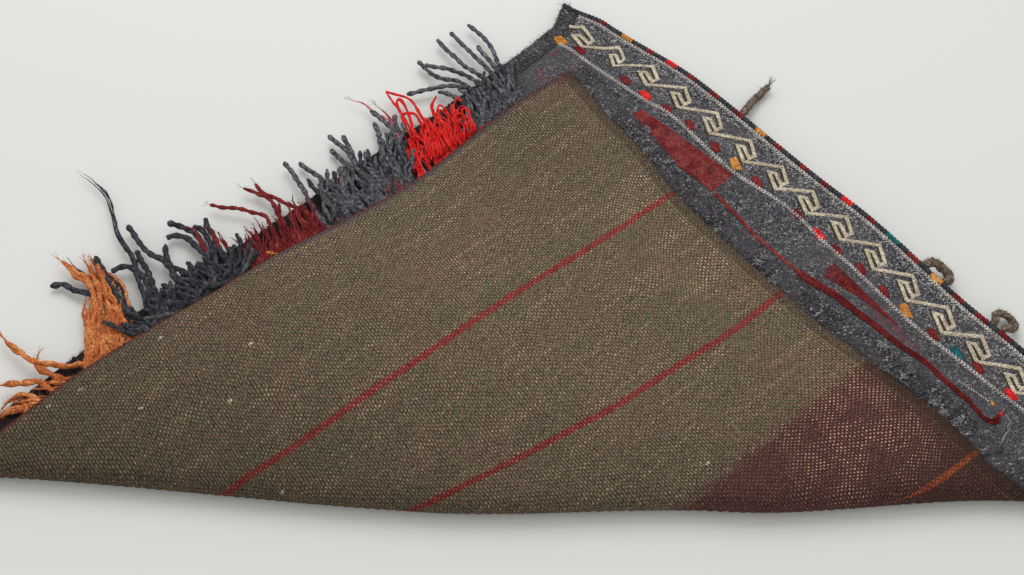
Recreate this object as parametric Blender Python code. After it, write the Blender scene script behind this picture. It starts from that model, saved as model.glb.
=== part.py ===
"""A flat-woven wool bag, lying on its back panel and folded over along its diagonal.

Every piece is first laid out flat and then folded by one function. In the flat layout
across runs from the left binding to the right one, up from the bottom edge to the mouth,
and depth from the outside of the back cloth (0) to the outside of the front cloth.
"""
import math

import bmesh
import bpy
from mathutils import Vector

# The bag laid out flat, in metres
BAG_WIDTH = 0.515
BAG_HEIGHT = 0.550
BACK_CLOTH = 0.0026
FRONT_CLOTH = 0.0030
CLOSED_GAP = 0.0005
CLEARANCE = 0.0003
SEAM_GAP = 0.0006
BINDING_WIDTH = 0.015
BINDING_ROUND = 0.0016
MOUTH_CORD_RADIUS = 0.0022
BACK_HEM_RADIUS = 0.0013
BACK_HEM_INSET = 0.0050
BOTTOM_CORD_RADIUS = 0.0011

# The fold and how the cloth lies, in metres and degrees
CORNER = (0.0232, 0.2093)
MOUTH_ANGLE = 45.81
FOLD_TILT = -3.46
FOLD_Y = -0.1931
FOLD_RADIUS = 0.0026
FLAP_GAP = 0.0016
FLAP_SETTLE_RUN = 0.100
FLAP_RIPPLE = 0.0012
FLAP_RIPPLE_LENGTH = 0.180
POCKET_LIFT = 0.0052
POCKET_MARGIN = 0.026
POCKET_SLOPE = 0.105

# How far each edge wanders from straight: (place along it, offset), in metres
MOUTH_BOW = ((0.0, -0.0015), (0.037, 0.0070), (0.110, 0.0105), (0.265, 0.003), (0.400, -0.0095),
             (0.515, -0.014))
LEFT_BOW = ((0.0, -0.0025), (0.026, 0.0080), (0.060, 0.0095), (0.135, 0.0095), (0.210, 0.006),
            (0.450, -0.0035), (0.550, -0.004))
BOTTOM_BOW = ((0.0, 0.004), (0.115, -0.006), (0.235, -0.003), (0.350, 0.007), (0.470, -0.004))
RIGHT_BOW = ((0.0, 0.008), (0.060, 0.001), (0.150, -0.010), (0.250, -0.008), (0.330, 0.0015),
             (0.358, 0.0032), (0.385, -0.0025), (0.410, -0.0075), (0.440, -0.003))
FOLD_BOW = ((-0.330, -0.006), (-0.070, -0.0135), (0.110, -0.002), (0.290, 0.016))
BOW_DEPTH = 0.045
BOW_FADE = 0.040
FOLD_BOW_FADE = 0.100

# The woven border along the mouth, measured down from the mouth edge
BROCADE_RAISE = 0.0008
LINE_WIDTH = 0.0022
OUTER_LINE = ((0.018, 0.0062), (0.497, 0.0062))
INNER_LINE = ((0.018, 0.0368), (0.038, 0.0400), (0.105, 0.0430), (0.128, 0.0397),
              (0.190, 0.0428), (0.243, 0.0365), (0.283, 0.0410), (0.352, 0.0413),
              (0.400, 0.0380), (0.497, 0.0378))
RED_LINE = ((0.198, 0.0665), (0.240, 0.0675), (0.283, 0.0690), (0.315, 0.0655),
            (0.354, 0.0625), (0.395, 0.0580), (0.420, 0.0605), (0.446, 0.0660))
HOOK_WIDTH = 0.0026
HOOK_STARTS = (0.0214, 0.0556, 0.0900, 0.1212, 0.1530, 0.1861, 0.2168, 0.2451, 0.2748, 0.3051,
               0.3355, 0.3665, 0.3950, 0.4255, 0.4550, 0.4850)
HOOK_LEAD = (0.0172, 0.0182)
HOOK_PATH = ((0.0, 0.0138), (0.0110, 0.0210), (0.0097, 0.0258), (0.0004, 0.0214),
             (-0.0036, 0.0239), (0.0088, 0.0308))
RED_BLOCKS = (((0.112, 0.1965), (0.0465, 0.0635)), ((0.291, 0.338), (0.0470, 0.0590)))

# Fringe: measured from the folded-over corner, down the bottom edge and out from it
RUST_SPAN = (0.3465, 0.434)
NAVY_SPAN = (0.267, 0.3455)
DARK_RED_SPAN = (0.2065, 0.266)
SLATE_SPAN = (0.1365, 0.2055)
SCARLET_SPAN = (0.0765, 0.1355)
CORNER_SPAN = (0.035, 0.0755)
THICK_STRAND = 0.0017
PLIED_STRAND = 0.0016
MATTED_STRAND = 0.0013
FINE_STRAND = 0.0010
ROOT_WIDTH = 0.009
ROOT_GAP = 0.0008
STRAND_STEP = 0.012
STRAND_GAP = 0.0007
STRAND_OVERHANG = 0.007

# The goat-hair closing loops on the mouth cord
SINGLE_BRAID_RADIUS = 0.0029
LOOP_BRAID_RADIUS = 0.0024
BRAID_STEP = 0.004

# The cells that the flat pieces are cut into, so that they can bend: their depth across
# the fold, their length along it as a multiple, and how far they lean
CELL = 0.026
CELL_LENGTH = 1.5
CELL_LEAN = 6.0
BEND_STEPS = 8

STACK = BACK_CLOTH + CLOSED_GAP + FRONT_CLOTH
FRONT_DEPTH = BACK_CLOTH + CLOSED_GAP
AXIS_HEIGHT = STACK + FOLD_RADIUS
NEUTRAL_RADIUS = AXIS_HEIGHT - BACK_CLOTH / 2
BEND_LENGTH = math.pi * NEUTRAL_RADIUS
FLAP_SETTLE = 2 * FOLD_RADIUS - FLAP_GAP

MOUTH_WAY = Vector((math.cos(math.radians(MOUTH_ANGLE)), -math.sin(math.radians(MOUTH_ANGLE))))
DOWN_WAY = Vector((MOUTH_WAY.y, -MOUTH_WAY.x))
FOLD_WAY = Vector((math.cos(math.radians(FOLD_TILT)), math.sin(math.radians(FOLD_TILT))))
FOLD_NORMAL = Vector((-FOLD_WAY.y, FOLD_WAY.x))
FOLD_POINT = Vector((0.0, FOLD_Y))


def smooth(x):
    """Ease from 0 to 1."""
    x = min(max(x, 0.0), 1.0)
    return x * x * (3.0 - 2.0 * x)


def wander(table, place):
    """Read an edge's offset between the listed places."""
    if place <= table[0][0]:
        return table[0][1]
    for (start, low), (end, high) in zip(table, table[1:]):
        if place <= end:
            return low + (high - low) * smooth((place - start) / (end - start))
    return table[-1][1]


def near(distance):
    """Full at an edge, gone a little way into the cloth."""
    return 1.0 - smooth((distance - BOW_DEPTH) / BOW_FADE)


def plan(across, up):
    """Where a point of the flat layout lies on the floor before the fold."""
    return Vector(CORNER) + MOUTH_WAY * across + DOWN_WAY * (BAG_HEIGHT - up)


def lift(place, from_fold):
    """How far the mouth of the pocket stands open at a place on the floor."""
    away = place - Vector(CORNER)
    across = away.dot(MOUTH_WAY)
    sides = smooth((across - POCKET_MARGIN) / POCKET_SLOPE)
    sides *= smooth((BAG_WIDTH - POCKET_MARGIN - across) / POCKET_SLOPE)
    return POCKET_LIFT * sides * smooth((from_fold - POCKET_MARGIN) / POCKET_SLOPE)


def folded(across, up, depth, front):
    """Carry a point of the flat layout to where it lies in the folded bag."""
    bowed_up = up + wander(MOUTH_BOW, across) * near(BAG_HEIGHT - up)
    bowed_up += wander(BOTTOM_BOW, across) * near(up)
    bowed_across = across + wander(LEFT_BOW, BAG_HEIGHT - up) * near(across)
    bowed_across += wander(RIGHT_BOW, up) * near(BAG_WIDTH - across)
    place = plan(bowed_across, bowed_up) - FOLD_POINT
    along = place.dot(FOLD_WAY)
    beyond = place.dot(FOLD_NORMAL)
    on_flap = beyond <= -BEND_LENGTH
    if beyond >= 0.0:
        out = beyond
        height = depth
    elif on_flap:
        out = -beyond - BEND_LENGTH
        height = 2 * AXIS_HEIGHT - depth - FLAP_SETTLE * smooth(out / FLAP_SETTLE_RUN)
        wave = math.sin(math.tau * along / FLAP_RIPPLE_LENGTH)
        wave *= math.cos(math.tau * out / FLAP_RIPPLE_LENGTH)
        height += FLAP_RIPPLE * (1.0 + wave) / 2 * smooth(out / FLAP_SETTLE_RUN)
    else:
        angle = -beyond / NEUTRAL_RADIUS
        radius = AXIS_HEIGHT - depth
        out = -radius * math.sin(angle)
        height = AXIS_HEIGHT - radius * math.cos(angle)
    spot = FOLD_POINT + FOLD_WAY * along + FOLD_NORMAL * out
    if front or on_flap:
        height += lift(spot, out)
    spot.y += wander(FOLD_BOW, along) * (1.0 - smooth(abs(out) / FOLD_BOW_FADE))
    return Vector((spot.x, spot.y, height))


def material(name, colour, roughness):
    surface = bpy.data.materials.new(name)
    surface.use_nodes = True
    shader = surface.node_tree.nodes["Principled BSDF"]
    shader.inputs["Base Color"].default_value = (*colour, 1.0)
    shader.inputs["Roughness"].default_value = roughness
    shader.inputs["Metallic"].default_value = 0.0
    return surface


def cut_across(mesh, corners, normal, places):
    """Cut a flat piece along straight lines, so that it can bend there."""
    distances = [Vector(corner[:2]).dot(normal) for corner in corners]
    for place in places:
        if min(distances) + 1e-5 < place < max(distances) - 1e-5:
            everything = mesh.verts[:] + mesh.edges[:] + mesh.faces[:]
            point = normal * place
            bmesh.ops.bisect_plane(mesh, geom=everything, dist=1e-7,
                                   plane_co=(point.x, point.y, 0.0),
                                   plane_no=(normal.x, normal.y, 0.0))


def fold_mesh(mesh, front):
    """Cut a flat piece into cells that follow the fold, and fold it."""
    normal = Vector((MOUTH_WAY.dot(FOLD_NORMAL), -DOWN_WAY.dot(FOLD_NORMAL)))
    along = Vector((MOUTH_WAY.dot(FOLD_WAY), -DOWN_WAY.dot(FOLD_WAY)))
    along = (along + normal * math.tan(math.radians(CELL_LEAN))).normalized()
    start = (FOLD_POINT - plan(0.0, 0.0)).dot(FOLD_NORMAL)
    reach = BAG_WIDTH + BAG_HEIGHT
    rows = range(1, int(reach / CELL))
    corners = [vertex.co.copy() for vertex in mesh.verts]
    bends = [start - BEND_LENGTH * step / BEND_STEPS for step in range(BEND_STEPS + 1)]
    lower = [start + CELL * row for row in rows]
    flap = [start - BEND_LENGTH - CELL * row for row in rows]
    cut_across(mesh, corners, normal, bends + lower + flap)
    columns = [CELL * CELL_LENGTH * (row - rows[-1] / 2) for row in rows]
    cut_across(mesh, corners, along, columns)
    bmesh.ops.triangulate(mesh, faces=mesh.faces[:], quad_method="SHORT_EDGE")
    for vertex in mesh.verts:
        vertex.co = folded(*vertex.co, front)


def add_object(name, mesh, surface, home):
    data = bpy.data.meshes.new(name)
    mesh.to_mesh(data)
    mesh.free()
    data.materials.append(surface)
    piece = bpy.data.objects.new(name, data)
    home.objects.link(piece)
    data.shade_smooth()
    data.set_sharp_from_angle(angle=math.radians(50))
    return piece


def slab(name, across, up, depth, surface, home, front=False, rounding=0.0):
    """A strip or sheet of even thickness, made flat and folded."""
    mesh = bmesh.new()
    bmesh.ops.create_cube(mesh, size=1.0)
    for vertex in mesh.verts:
        vertex.co = [low + (high - low) * (share + 0.5)
                     for (low, high), share in zip((across, up, depth), vertex.co)]
    if rounding:
        long_edges = [edge for edge in mesh.edges
                      if abs((edge.verts[0].co - edge.verts[1].co).y) > BAG_HEIGHT / 2]
        bmesh.ops.bevel(mesh, geom=long_edges, offset=rounding, segments=1, profile=0.5,
                        affect="EDGES")
    fold_mesh(mesh, front)
    return add_object(name, mesh, surface, home)


def tube_mesh(name, points, radius, sides_level, flatten=1.0):
    """A closed tube through the points, as a mesh; flatten squashes its height."""
    curve = bpy.data.curves.new(name, "CURVE")
    curve.dimensions = "3D"
    curve.bevel_depth = radius
    curve.bevel_resolution = sides_level
    curve.use_fill_caps = True
    spline = curve.splines.new("POLY")
    spline.points.add(len(points) - 1)
    for spot, point in zip(spline.points, points):
        spot.co = (*point, 1.0)
    holder = bpy.data.objects.new(name, curve)
    bpy.context.scene.collection.objects.link(holder)
    bpy.context.view_layer.update()
    evaluated = holder.evaluated_get(bpy.context.evaluated_depsgraph_get())
    data = bpy.data.meshes.new_from_object(evaluated)
    bpy.data.objects.remove(holder)
    mesh = bmesh.new()
    mesh.from_mesh(data)
    bpy.data.meshes.remove(data)
    bmesh.ops.remove_doubles(mesh, verts=mesh.verts[:], dist=1e-6)
    middle = points[0][2]
    for vertex in mesh.verts:
        if flatten != 1.0:
            vertex.co.z = middle + (vertex.co.z - middle) * flatten
    bmesh.ops.recalc_face_normals(mesh, faces=mesh.faces[:])
    return mesh


def flat_yarn(name, points, radius, surface, home, front=False, flatten=1.0, sides_level=1):
    """A cord or a raised yarn, laid flat and folded with the cloth."""
    mesh = tube_mesh(name, points, radius, sides_level, flatten)
    fold_mesh(mesh, front)
    return add_object(name, mesh, surface, home)


def curve_through(points, step):
    """Points about a step apart on a smooth curve through the given ones."""
    spots = [Vector(point) for point in points]
    spots = [spots[0] * 2 - spots[1]] + spots + [spots[-1] * 2 - spots[-2]]
    path = [spots[1]]
    for before, start, end, after in zip(spots, spots[1:], spots[2:], spots[3:]):
        pieces = max(1, round((end - start).length / step))
        for piece in range(1, pieces + 1):
            t = piece / pieces
            path.append(0.5 * (2 * start + (end - before) * t
                               + (2 * before - 5 * start + 4 * end - after) * t * t
                               + (3 * start - before - 3 * end + after) * t * t * t))
    return path


def ground(place):
    """Height of what the fringe lies on: the front cloth, or the floor beside the bag."""
    away = place - Vector(CORNER)
    inside = away.dot(MOUTH_WAY) - wander(LEFT_BOW, away.dot(DOWN_WAY))
    from_fold = (place - FOLD_POINT).dot(FOLD_NORMAL)
    onto_bag = smooth((inside + STRAND_OVERHANG) / BINDING_WIDTH + 1.0)
    return (STACK + lift(place, from_fold)) * onto_bag


def mirrored(way):
    """Turn a direction of the flat bag over with the flap."""
    return way - 2 * way.dot(FOLD_NORMAL) * FOLD_NORMAL


def fringe_place(along, out):
    """A place on the floor, from the folded-over corner down the bottom edge and out."""
    flat_corner = plan(BAG_WIDTH - BINDING_WIDTH, 0.0)
    beyond = (flat_corner - FOLD_POINT).dot(FOLD_NORMAL)
    corner = flat_corner - FOLD_NORMAL * (2 * beyond + BEND_LENGTH)
    return corner - mirrored(MOUTH_WAY) * along + mirrored(DOWN_WAY) * out


def strand_route(route, span, radius, tip_height):
    """A strand's centre line, from inside its root band down to what it lies on."""
    along = min(max(route[0][0], span[0] + radius), span[1] - radius)
    root = folded(BAG_WIDTH - BINDING_WIDTH - along, -ROOT_WIDTH / 2,
                  FRONT_DEPTH + FRONT_CLOTH / 2, True)
    places = [root.to_2d()] + [fringe_place(*place) for place in route[1:]]
    path = curve_through([(*place, 0.0) for place in places], STRAND_STEP)
    spots = []
    for number, point in enumerate(path):
        share = number / (len(path) - 1)
        rest = ground(point.to_2d()) + radius + STRAND_GAP
        height = max(rest, root.z + (tip_height - root.z) * share)
        spots.append(Vector((point.x, point.y, root.z if number == 0 else height)))
    return spots


def tassel(name, span, radius, routes, surface, home, spare, sides_level=1):
    """One colour of fringe: its strands and the band that they grow from, as one body."""
    right = BAG_WIDTH - BINDING_WIDTH
    band = slab(name, (right - span[1], right - span[0]), (-ROOT_WIDTH, -ROOT_GAP),
                (FRONT_DEPTH, STACK), surface, home, front=True)
    for number, (tip_height, route) in enumerate(routes):
        path = strand_route(route, span, radius, tip_height)
        strand = add_object(f"{name}_strand_{number}", tube_mesh(name, path, radius, sides_level),
                            surface, spare)
        strand.hide_render = True
        strand.display_type = "WIRE"
        join = band.modifiers.new(f"strand_{number}", "BOOLEAN")
        join.operation = "UNION"
        join.solver = "EXACT"
        join.object = strand
    return band


# The folder for the pieces, and one for the shapes that are joined into them
for old in list(bpy.data.objects):
    bpy.data.objects.remove(old)
parts = bpy.data.collections.new("folded_bag")
shapes = bpy.data.collections.new("strand_shapes")
bpy.context.scene.collection.children.link(parts)
bpy.context.scene.collection.children.link(shapes)

olive = material("back_wool", (0.115, 0.085, 0.055), 0.95)
slate = material("face_wool", (0.040, 0.044, 0.055), 0.95)
grey = material("binding_wool", (0.055, 0.050, 0.062), 0.97)
ivory = material("ivory_wool", (0.480, 0.420, 0.310), 0.92)
madder = material("madder_wool", (0.150, 0.022, 0.022), 0.93)
rust = material("rust_wool", (0.450, 0.140, 0.030), 0.93)
navy = material("navy_wool", (0.028, 0.034, 0.048), 0.93)
scarlet = material("scarlet_wool", (0.620, 0.014, 0.012), 0.90)
hair = material("goat_hair", (0.130, 0.095, 0.070), 0.90)

# The two cloths, each one length that goes round the fold
INSIDE = (BINDING_WIDTH, BAG_WIDTH - BINDING_WIDTH)
CORD_ROOM = 2 * MOUTH_CORD_RADIUS + CLEARANCE
BACK_TOP = BAG_HEIGHT - BACK_HEM_INSET - 2 * BACK_HEM_RADIUS
slab("back_panel", INSIDE, (0.0, BACK_TOP - CLEARANCE), (0.0, BACK_CLOTH), olive, parts)
slab("front_panel", INSIDE, (0.0, BAG_HEIGHT - CORD_ROOM), (FRONT_DEPTH, STACK), slate, parts,
     front=True)

# The overcast bindings that close the two sides
for side, start in (("left", 0.0), ("right", BAG_WIDTH - BINDING_WIDTH + SEAM_GAP)):
    slab(f"binding_{side}", (start, start + BINDING_WIDTH - SEAM_GAP),
         (0.0, BAG_HEIGHT - CORD_ROOM), (0.0, STACK), grey, parts, rounding=BINDING_ROUND)


def edge_run(start, end, up, depth):
    """A cord that runs straight across the flat bag, and is cut where the cloth is."""
    return [Vector((start, up, depth)), Vector((end, up, depth))]


# The cords along the mouth and the bottom edge
FRONT_MIDDLE = FRONT_DEPTH + FRONT_CLOTH / 2
flat_yarn("mouth_cord", edge_run(0.0, BAG_WIDTH, BAG_HEIGHT - MOUTH_CORD_RADIUS, FRONT_MIDDLE),
          MOUTH_CORD_RADIUS, navy, parts, front=True)
flat_yarn("back_hem", edge_run(*INSIDE, BACK_TOP + BACK_HEM_RADIUS, BACK_HEM_RADIUS),
          BACK_HEM_RADIUS, olive, parts)
flat_yarn("bottom_cord", edge_run(*INSIDE, -BOTTOM_CORD_RADIUS - CLEARANCE, BACK_CLOTH / 2),
          BOTTOM_CORD_RADIUS, madder, parts)

# The raised yarns of the border, on the face of the front cloth
FACE = STACK + CLEARANCE


def raised_line(name, places, width, surface):
    """A raised line of yarn through places given across the bag and down from its mouth."""
    route = [Vector((across, BAG_HEIGHT - down, FACE + BROCADE_RAISE / 2)) for across, down in places]
    flat_yarn(name, route, width / 2, surface, parts, front=True, flatten=BROCADE_RAISE / width,
              sides_level=0)


raised_line("border_line_outer", OUTER_LINE, LINE_WIDTH, ivory)
raised_line("border_line_inner", INNER_LINE, LINE_WIDTH, ivory)
raised_line("red_line", RED_LINE, 2.1 * LINE_WIDTH, madder)
hooks = [(start + step, down) for start in HOOK_STARTS for step, down in HOOK_PATH]
raised_line("border_hooks", [HOOK_LEAD] + hooks, HOOK_WIDTH, ivory)

for number, (across, (high, low)) in enumerate(RED_BLOCKS, 1):
    slab(f"red_block_{number}", across, (BAG_HEIGHT - low, BAG_HEIGHT - high),
         (FACE, FACE + BROCADE_RAISE), madder, parts, front=True)

# The fringe: tip height and the strand's places, down the bottom edge and out from it
RUST_STRANDS = (
    (0.005, ((0.387, 0), (0.400, 0.019), (0.414, 0.043), (0.421, 0.075))),
    (0.004, ((0.395, 0), (0.408, 0.026), (0.406, 0.042))),
    (0.004, ((0.412, 0), (0.427, 0.025), (0.444, 0.040), (0.458, 0.047))),
    (0.004, ((0.423, 0), (0.430, 0.016), (0.443, 0.020), (0.453, 0.026))),
    (0.004, ((0.430, 0), (0.440, 0.006), (0.447, 0.013), (0.450, 0.022))),
    (0.008, ((0.383, 0), (0.369, 0.031), (0.354, 0.052), (0.354, 0.070), (0.360, 0.098))),
    (0.008, ((0.378, 0), (0.364, 0.031), (0.350, 0.058), (0.346, 0.078), (0.340, 0.084))),
    (0.010, ((0.372, 0), (0.360, 0.032), (0.346, 0.059), (0.341, 0.080))),
    (0.008, ((0.366, 0), (0.354, 0.040), (0.342, 0.068), (0.340, 0.082))),
    (0.010, ((0.360, 0), (0.354, 0.028), (0.349, 0.051))),
    (0.010, ((0.351, 0), (0.349, 0.030), (0.341, 0.055), (0.338, 0.083))))
NAVY_STRANDS = (
    (-0.020, ((0.3420, 0), (0.339, 0.026), (0.343, 0.050), (0.357, 0.064), (0.374, 0.084))),
    (0.005, ((0.336, 0), (0.334, 0.030), (0.325, 0.060), (0.313, 0.104), (0.307, 0.130),
             (0.310, 0.154))),
    (0.004, ((0.329, 0), (0.326, 0.024), (0.320, 0.046))),
    (0.005, ((0.322, 0), (0.319, 0.040), (0.315, 0.073))),
    (0.006, ((0.315, 0), (0.317, 0.040), (0.325, 0.059), (0.333, 0.064))),
    (0.005, ((0.308, 0), (0.307, 0.040), (0.311, 0.072), (0.309, 0.094))),
    (0.004, ((0.300, 0), (0.301, 0.025), (0.305, 0.046), (0.297, 0.063))),
    (0.006, ((0.291, 0), (0.283, 0.034), (0.289, 0.048), (0.291, 0.060))),
    (0.006, ((0.286, 0), (0.281, 0.042), (0.286, 0.064), (0.294, 0.067))),
    (0.005, ((0.282, 0), (0.276, 0.042), (0.279, 0.062), (0.286, 0.078))),
    (0.006, ((0.278, 0), (0.275, 0.042), (0.273, 0.065))),
    (0.005, ((0.274, 0), (0.272, 0.040), (0.264, 0.065))),
    (0.004, ((0.270, 0), (0.267, 0.030), (0.264, 0.050))))
DARK_RED_STRANDS = (
    (0.004, ((0.262, 0), (0.260, 0.020), (0.260, 0.033))),
    (0.006, ((0.254, 0), (0.241, 0.024), (0.237, 0.043), (0.245, 0.058), (0.257, 0.072))),
    (0.004, ((0.248, 0), (0.240, 0.020), (0.235, 0.034))),
    (0.006, ((0.242, 0), (0.226, 0.026), (0.223, 0.048), (0.230, 0.071))),
    (0.004, ((0.232, 0), (0.225, 0.022), (0.221, 0.038))),
    (0.004, ((0.222, 0), (0.217, 0.024), (0.215, 0.040))),
    (0.007, ((0.210, 0), (0.210, 0.023), (0.218, 0.044), (0.224, 0.070))))
SLATE_STRANDS = (
    (0.005, ((0.201, 0), (0.200, 0.028), (0.197, 0.052), (0.195, 0.072))),
    (0.006, ((0.194, 0), (0.188, 0.034), (0.186, 0.067))),
    (0.005, ((0.188, 0), (0.181, 0.033), (0.187, 0.054), (0.190, 0.064))),
    (0.006, ((0.182, 0), (0.168, 0.030), (0.162, 0.062))),
    (0.005, ((0.176, 0), (0.164, 0.028), (0.157, 0.052), (0.158, 0.072))),
    (0.006, ((0.169, 0), (0.158, 0.030), (0.150, 0.065))),
    (0.005, ((0.158, 0), (0.144, 0.025), (0.132, 0.046), (0.124, 0.061))),
    (0.006, ((0.149, 0), (0.130, 0.026), (0.122, 0.048), (0.121, 0.070))),
    (0.005, ((0.144, 0), (0.128, 0.022), (0.117, 0.044), (0.110, 0.059))),
    (0.006, ((0.139, 0), (0.123, 0.040), (0.115, 0.056), (0.114, 0.073))))
SCARLET_STRANDS = (
    (0.006, ((0.131, 0), (0.118, 0.024), (0.107, 0.046), (0.104, 0.076))),
    (0.005, ((0.124, 0), (0.112, 0.018), (0.104, 0.034))),
    (0.008, ((0.118, 0), (0.102, 0.032), (0.095, 0.050), (0.097, 0.064), (0.102, 0.066))),
    (0.005, ((0.111, 0), (0.104, 0.016), (0.098, 0.026))),
    (0.006, ((0.104, 0), (0.092, 0.032), (0.079, 0.050))),
    (0.005, ((0.097, 0), (0.091, 0.014), (0.088, 0.024))),
    (0.005, ((0.091, 0), (0.085, 0.020), (0.087, 0.033))),
    (0.005, ((0.083, 0), (0.077, 0.018), (0.077, 0.034))))
NAVY_CORNER_STRANDS = (
    (0.005, ((0.073, 0), (0.067, 0.026), (0.066, 0.040), (0.072, 0.055))),
    (0.003, ((0.069, 0), (0.055, 0.034), (0.059, 0.049), (0.075, 0.060), (0.092, 0.067))),
    (0.007, ((0.064, 0), (0.054, 0.034), (0.056, 0.052), (0.065, 0.066), (0.066, 0.088))),
    (0.006, ((0.058, 0), (0.046, 0.036), (0.050, 0.060), (0.064, 0.082))),
    (0.006, ((0.053, 0), (0.040, 0.036), (0.043, 0.064), (0.042, 0.096))),
    (0.006, ((0.048, 0), (0.033, 0.038), (0.031, 0.068), (0.030, 0.095))),
    (0.005, ((0.043, 0), (0.028, 0.038), (0.025, 0.058), (0.023, 0.072))),
    (0.006, ((0.038, 0), (0.024, 0.042), (0.015, 0.068), (0.014, 0.094))))

tassel("tassel_rust", RUST_SPAN, THICK_STRAND, RUST_STRANDS, rust, parts, shapes)
tassel("tassel_navy", NAVY_SPAN, THICK_STRAND, NAVY_STRANDS, navy, parts, shapes)
tassel("tassel_dark_red", DARK_RED_SPAN, MATTED_STRAND, DARK_RED_STRANDS, madder, parts, shapes)
tassel("tassel_slate", SLATE_SPAN, PLIED_STRAND, SLATE_STRANDS, navy, parts, shapes)
tassel("tassel_scarlet", SCARLET_SPAN, FINE_STRAND, SCARLET_STRANDS, scarlet, parts, shapes,
       sides_level=0)
tassel("tassel_navy_corner", CORNER_SPAN, PLIED_STRAND, NAVY_CORNER_STRANDS, navy, parts, shapes)


# The goat-hair closing loops on the mouth cord: place along the mouth, out, and height
def closing_loop(name, route, radius):
    """A braid from the mouth cord; its heights count down from the cord's middle."""
    spots = []
    for across, out, drop in route:
        spot = folded(across, BAG_HEIGHT + out, FRONT_MIDDLE, True)
        spot.z = max(spot.z - drop, radius + STRAND_GAP)
        spots.append(spot)
    path = curve_through(spots, BRAID_STEP)
    add_object(name, tube_mesh(name, path, radius, 1), hair, parts)


closing_loop("closing_loop_left",
             ((0.165, 0.0010, 0), (0.1645, 0.004, 0.001), (0.163, 0.008, 0.003),
              (0.1602, 0.020, 0.008), (0.1592, 0.037, 0.009)), SINGLE_BRAID_RADIUS)
closing_loop("closing_loop_middle",
             ((0.336, 0.0012, 0), (0.3365, 0.005, 0), (0.341, 0.009, 0.001),
              (0.3475, 0.0105, 0.002), (0.353, 0.0085, 0.001), (0.3545, 0.005, 0),
              (0.354, 0.0012, 0)), LOOP_BRAID_RADIUS)
closing_loop("closing_loop_right",
             ((0.3945, 0.0012, 0), (0.394, 0.0045, 0), (0.3905, 0.010, 0.002),
              (0.3925, 0.0155, 0.004), (0.3985, 0.0178, 0.006), (0.4045, 0.0145, 0.004),
              (0.4055, 0.009, 0.002), (0.4025, 0.0045, 0), (0.402, 0.0012, 0)),
             LOOP_BRAID_RADIUS)
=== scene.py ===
"""A flat-woven wool bag that lies folded over along its diagonal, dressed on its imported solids."""
import math
import random

import bpy
import numpy as np
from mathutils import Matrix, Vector, noise


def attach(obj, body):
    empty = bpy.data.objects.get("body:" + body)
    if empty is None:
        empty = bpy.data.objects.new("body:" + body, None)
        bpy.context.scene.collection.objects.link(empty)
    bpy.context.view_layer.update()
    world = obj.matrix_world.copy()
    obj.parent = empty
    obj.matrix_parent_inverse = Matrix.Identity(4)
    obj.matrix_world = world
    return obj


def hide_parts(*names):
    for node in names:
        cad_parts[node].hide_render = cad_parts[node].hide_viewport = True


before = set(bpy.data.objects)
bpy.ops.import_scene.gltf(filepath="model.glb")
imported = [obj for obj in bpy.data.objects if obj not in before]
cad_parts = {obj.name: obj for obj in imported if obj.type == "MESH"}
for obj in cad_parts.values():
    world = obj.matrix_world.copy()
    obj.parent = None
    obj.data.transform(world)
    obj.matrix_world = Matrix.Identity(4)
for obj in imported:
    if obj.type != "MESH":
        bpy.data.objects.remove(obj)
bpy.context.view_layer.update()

# The camera
# It stands in front of the fold and looks down on the bag, as the photographer did. The lens
# is a 50 mm one on a full frame.
lens = bpy.data.cameras.new("camera")
lens.lens = 50.0
lens.sensor_width = 36.0
camera = bpy.data.objects.new("camera", lens)
camera.location = (-0.0200, -0.5644, 0.7927)
LOOK_DOWN = 56.768
camera.rotation_euler = (math.radians(90.0 - LOOK_DOWN), 0.0, 0.0)
bpy.context.scene.collection.objects.link(camera)
bpy.context.scene.camera = camera
bpy.context.scene.view_settings.view_transform = "Standard"

# The floor and the light
# A pale seamless floor under even studio light: a bright room all round and one large soft
# lamp behind the bag, so that the floor is a little darker in front of the fold.


def dye(red, green, blue):
    """A colour as it is seen on a screen, 0 to 255, as the linear one that the shaders take."""
    screen = np.array((red, green, blue)) / 255.0
    linear = np.where(screen <= 0.04045, screen / 12.92, ((screen + 0.055) / 1.055) ** 2.4)
    return (*(float(part) for part in linear), 1.0)


class Thread:
    """One socket of a finish, so that shader maths is written as Python expressions."""

    def __init__(self, finish, socket):
        self.finish = finish
        self.socket = socket

    def maths(self, operation, *values):
        return self.finish.node("Math", {"operation": operation}, dict(enumerate(values)))

    def __add__(self, other):
        return self.maths("ADD", self, other)

    def __sub__(self, other):
        return self.maths("SUBTRACT", self, other)

    def __rsub__(self, other):
        return self.maths("SUBTRACT", other, self)

    def __mul__(self, other):
        return self.maths("MULTIPLY", self, other)

    def __truediv__(self, other):
        return self.maths("DIVIDE", self, other)

    def __gt__(self, other):
        return self.maths("GREATER_THAN", self, other)

    def __lt__(self, other):
        return self.maths("LESS_THAN", self, other)

    def sine(self):
        return self.maths("SINE", self)

    def size(self):
        return self.maths("ABSOLUTE", self)

    def floor(self):
        return self.maths("FLOOR", self)

    def least(self, other):
        return self.maths("MINIMUM", self, other)

    def between(self, low, high):
        """0 up to low, 1 from high on, and a smooth slope between; it falls where low is above high."""
        made = {"interpolation_type": "SMOOTHSTEP"}
        return self.finish.node("MapRange", made, {"Value": self, "From Min": low, "From Max": high})


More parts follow.
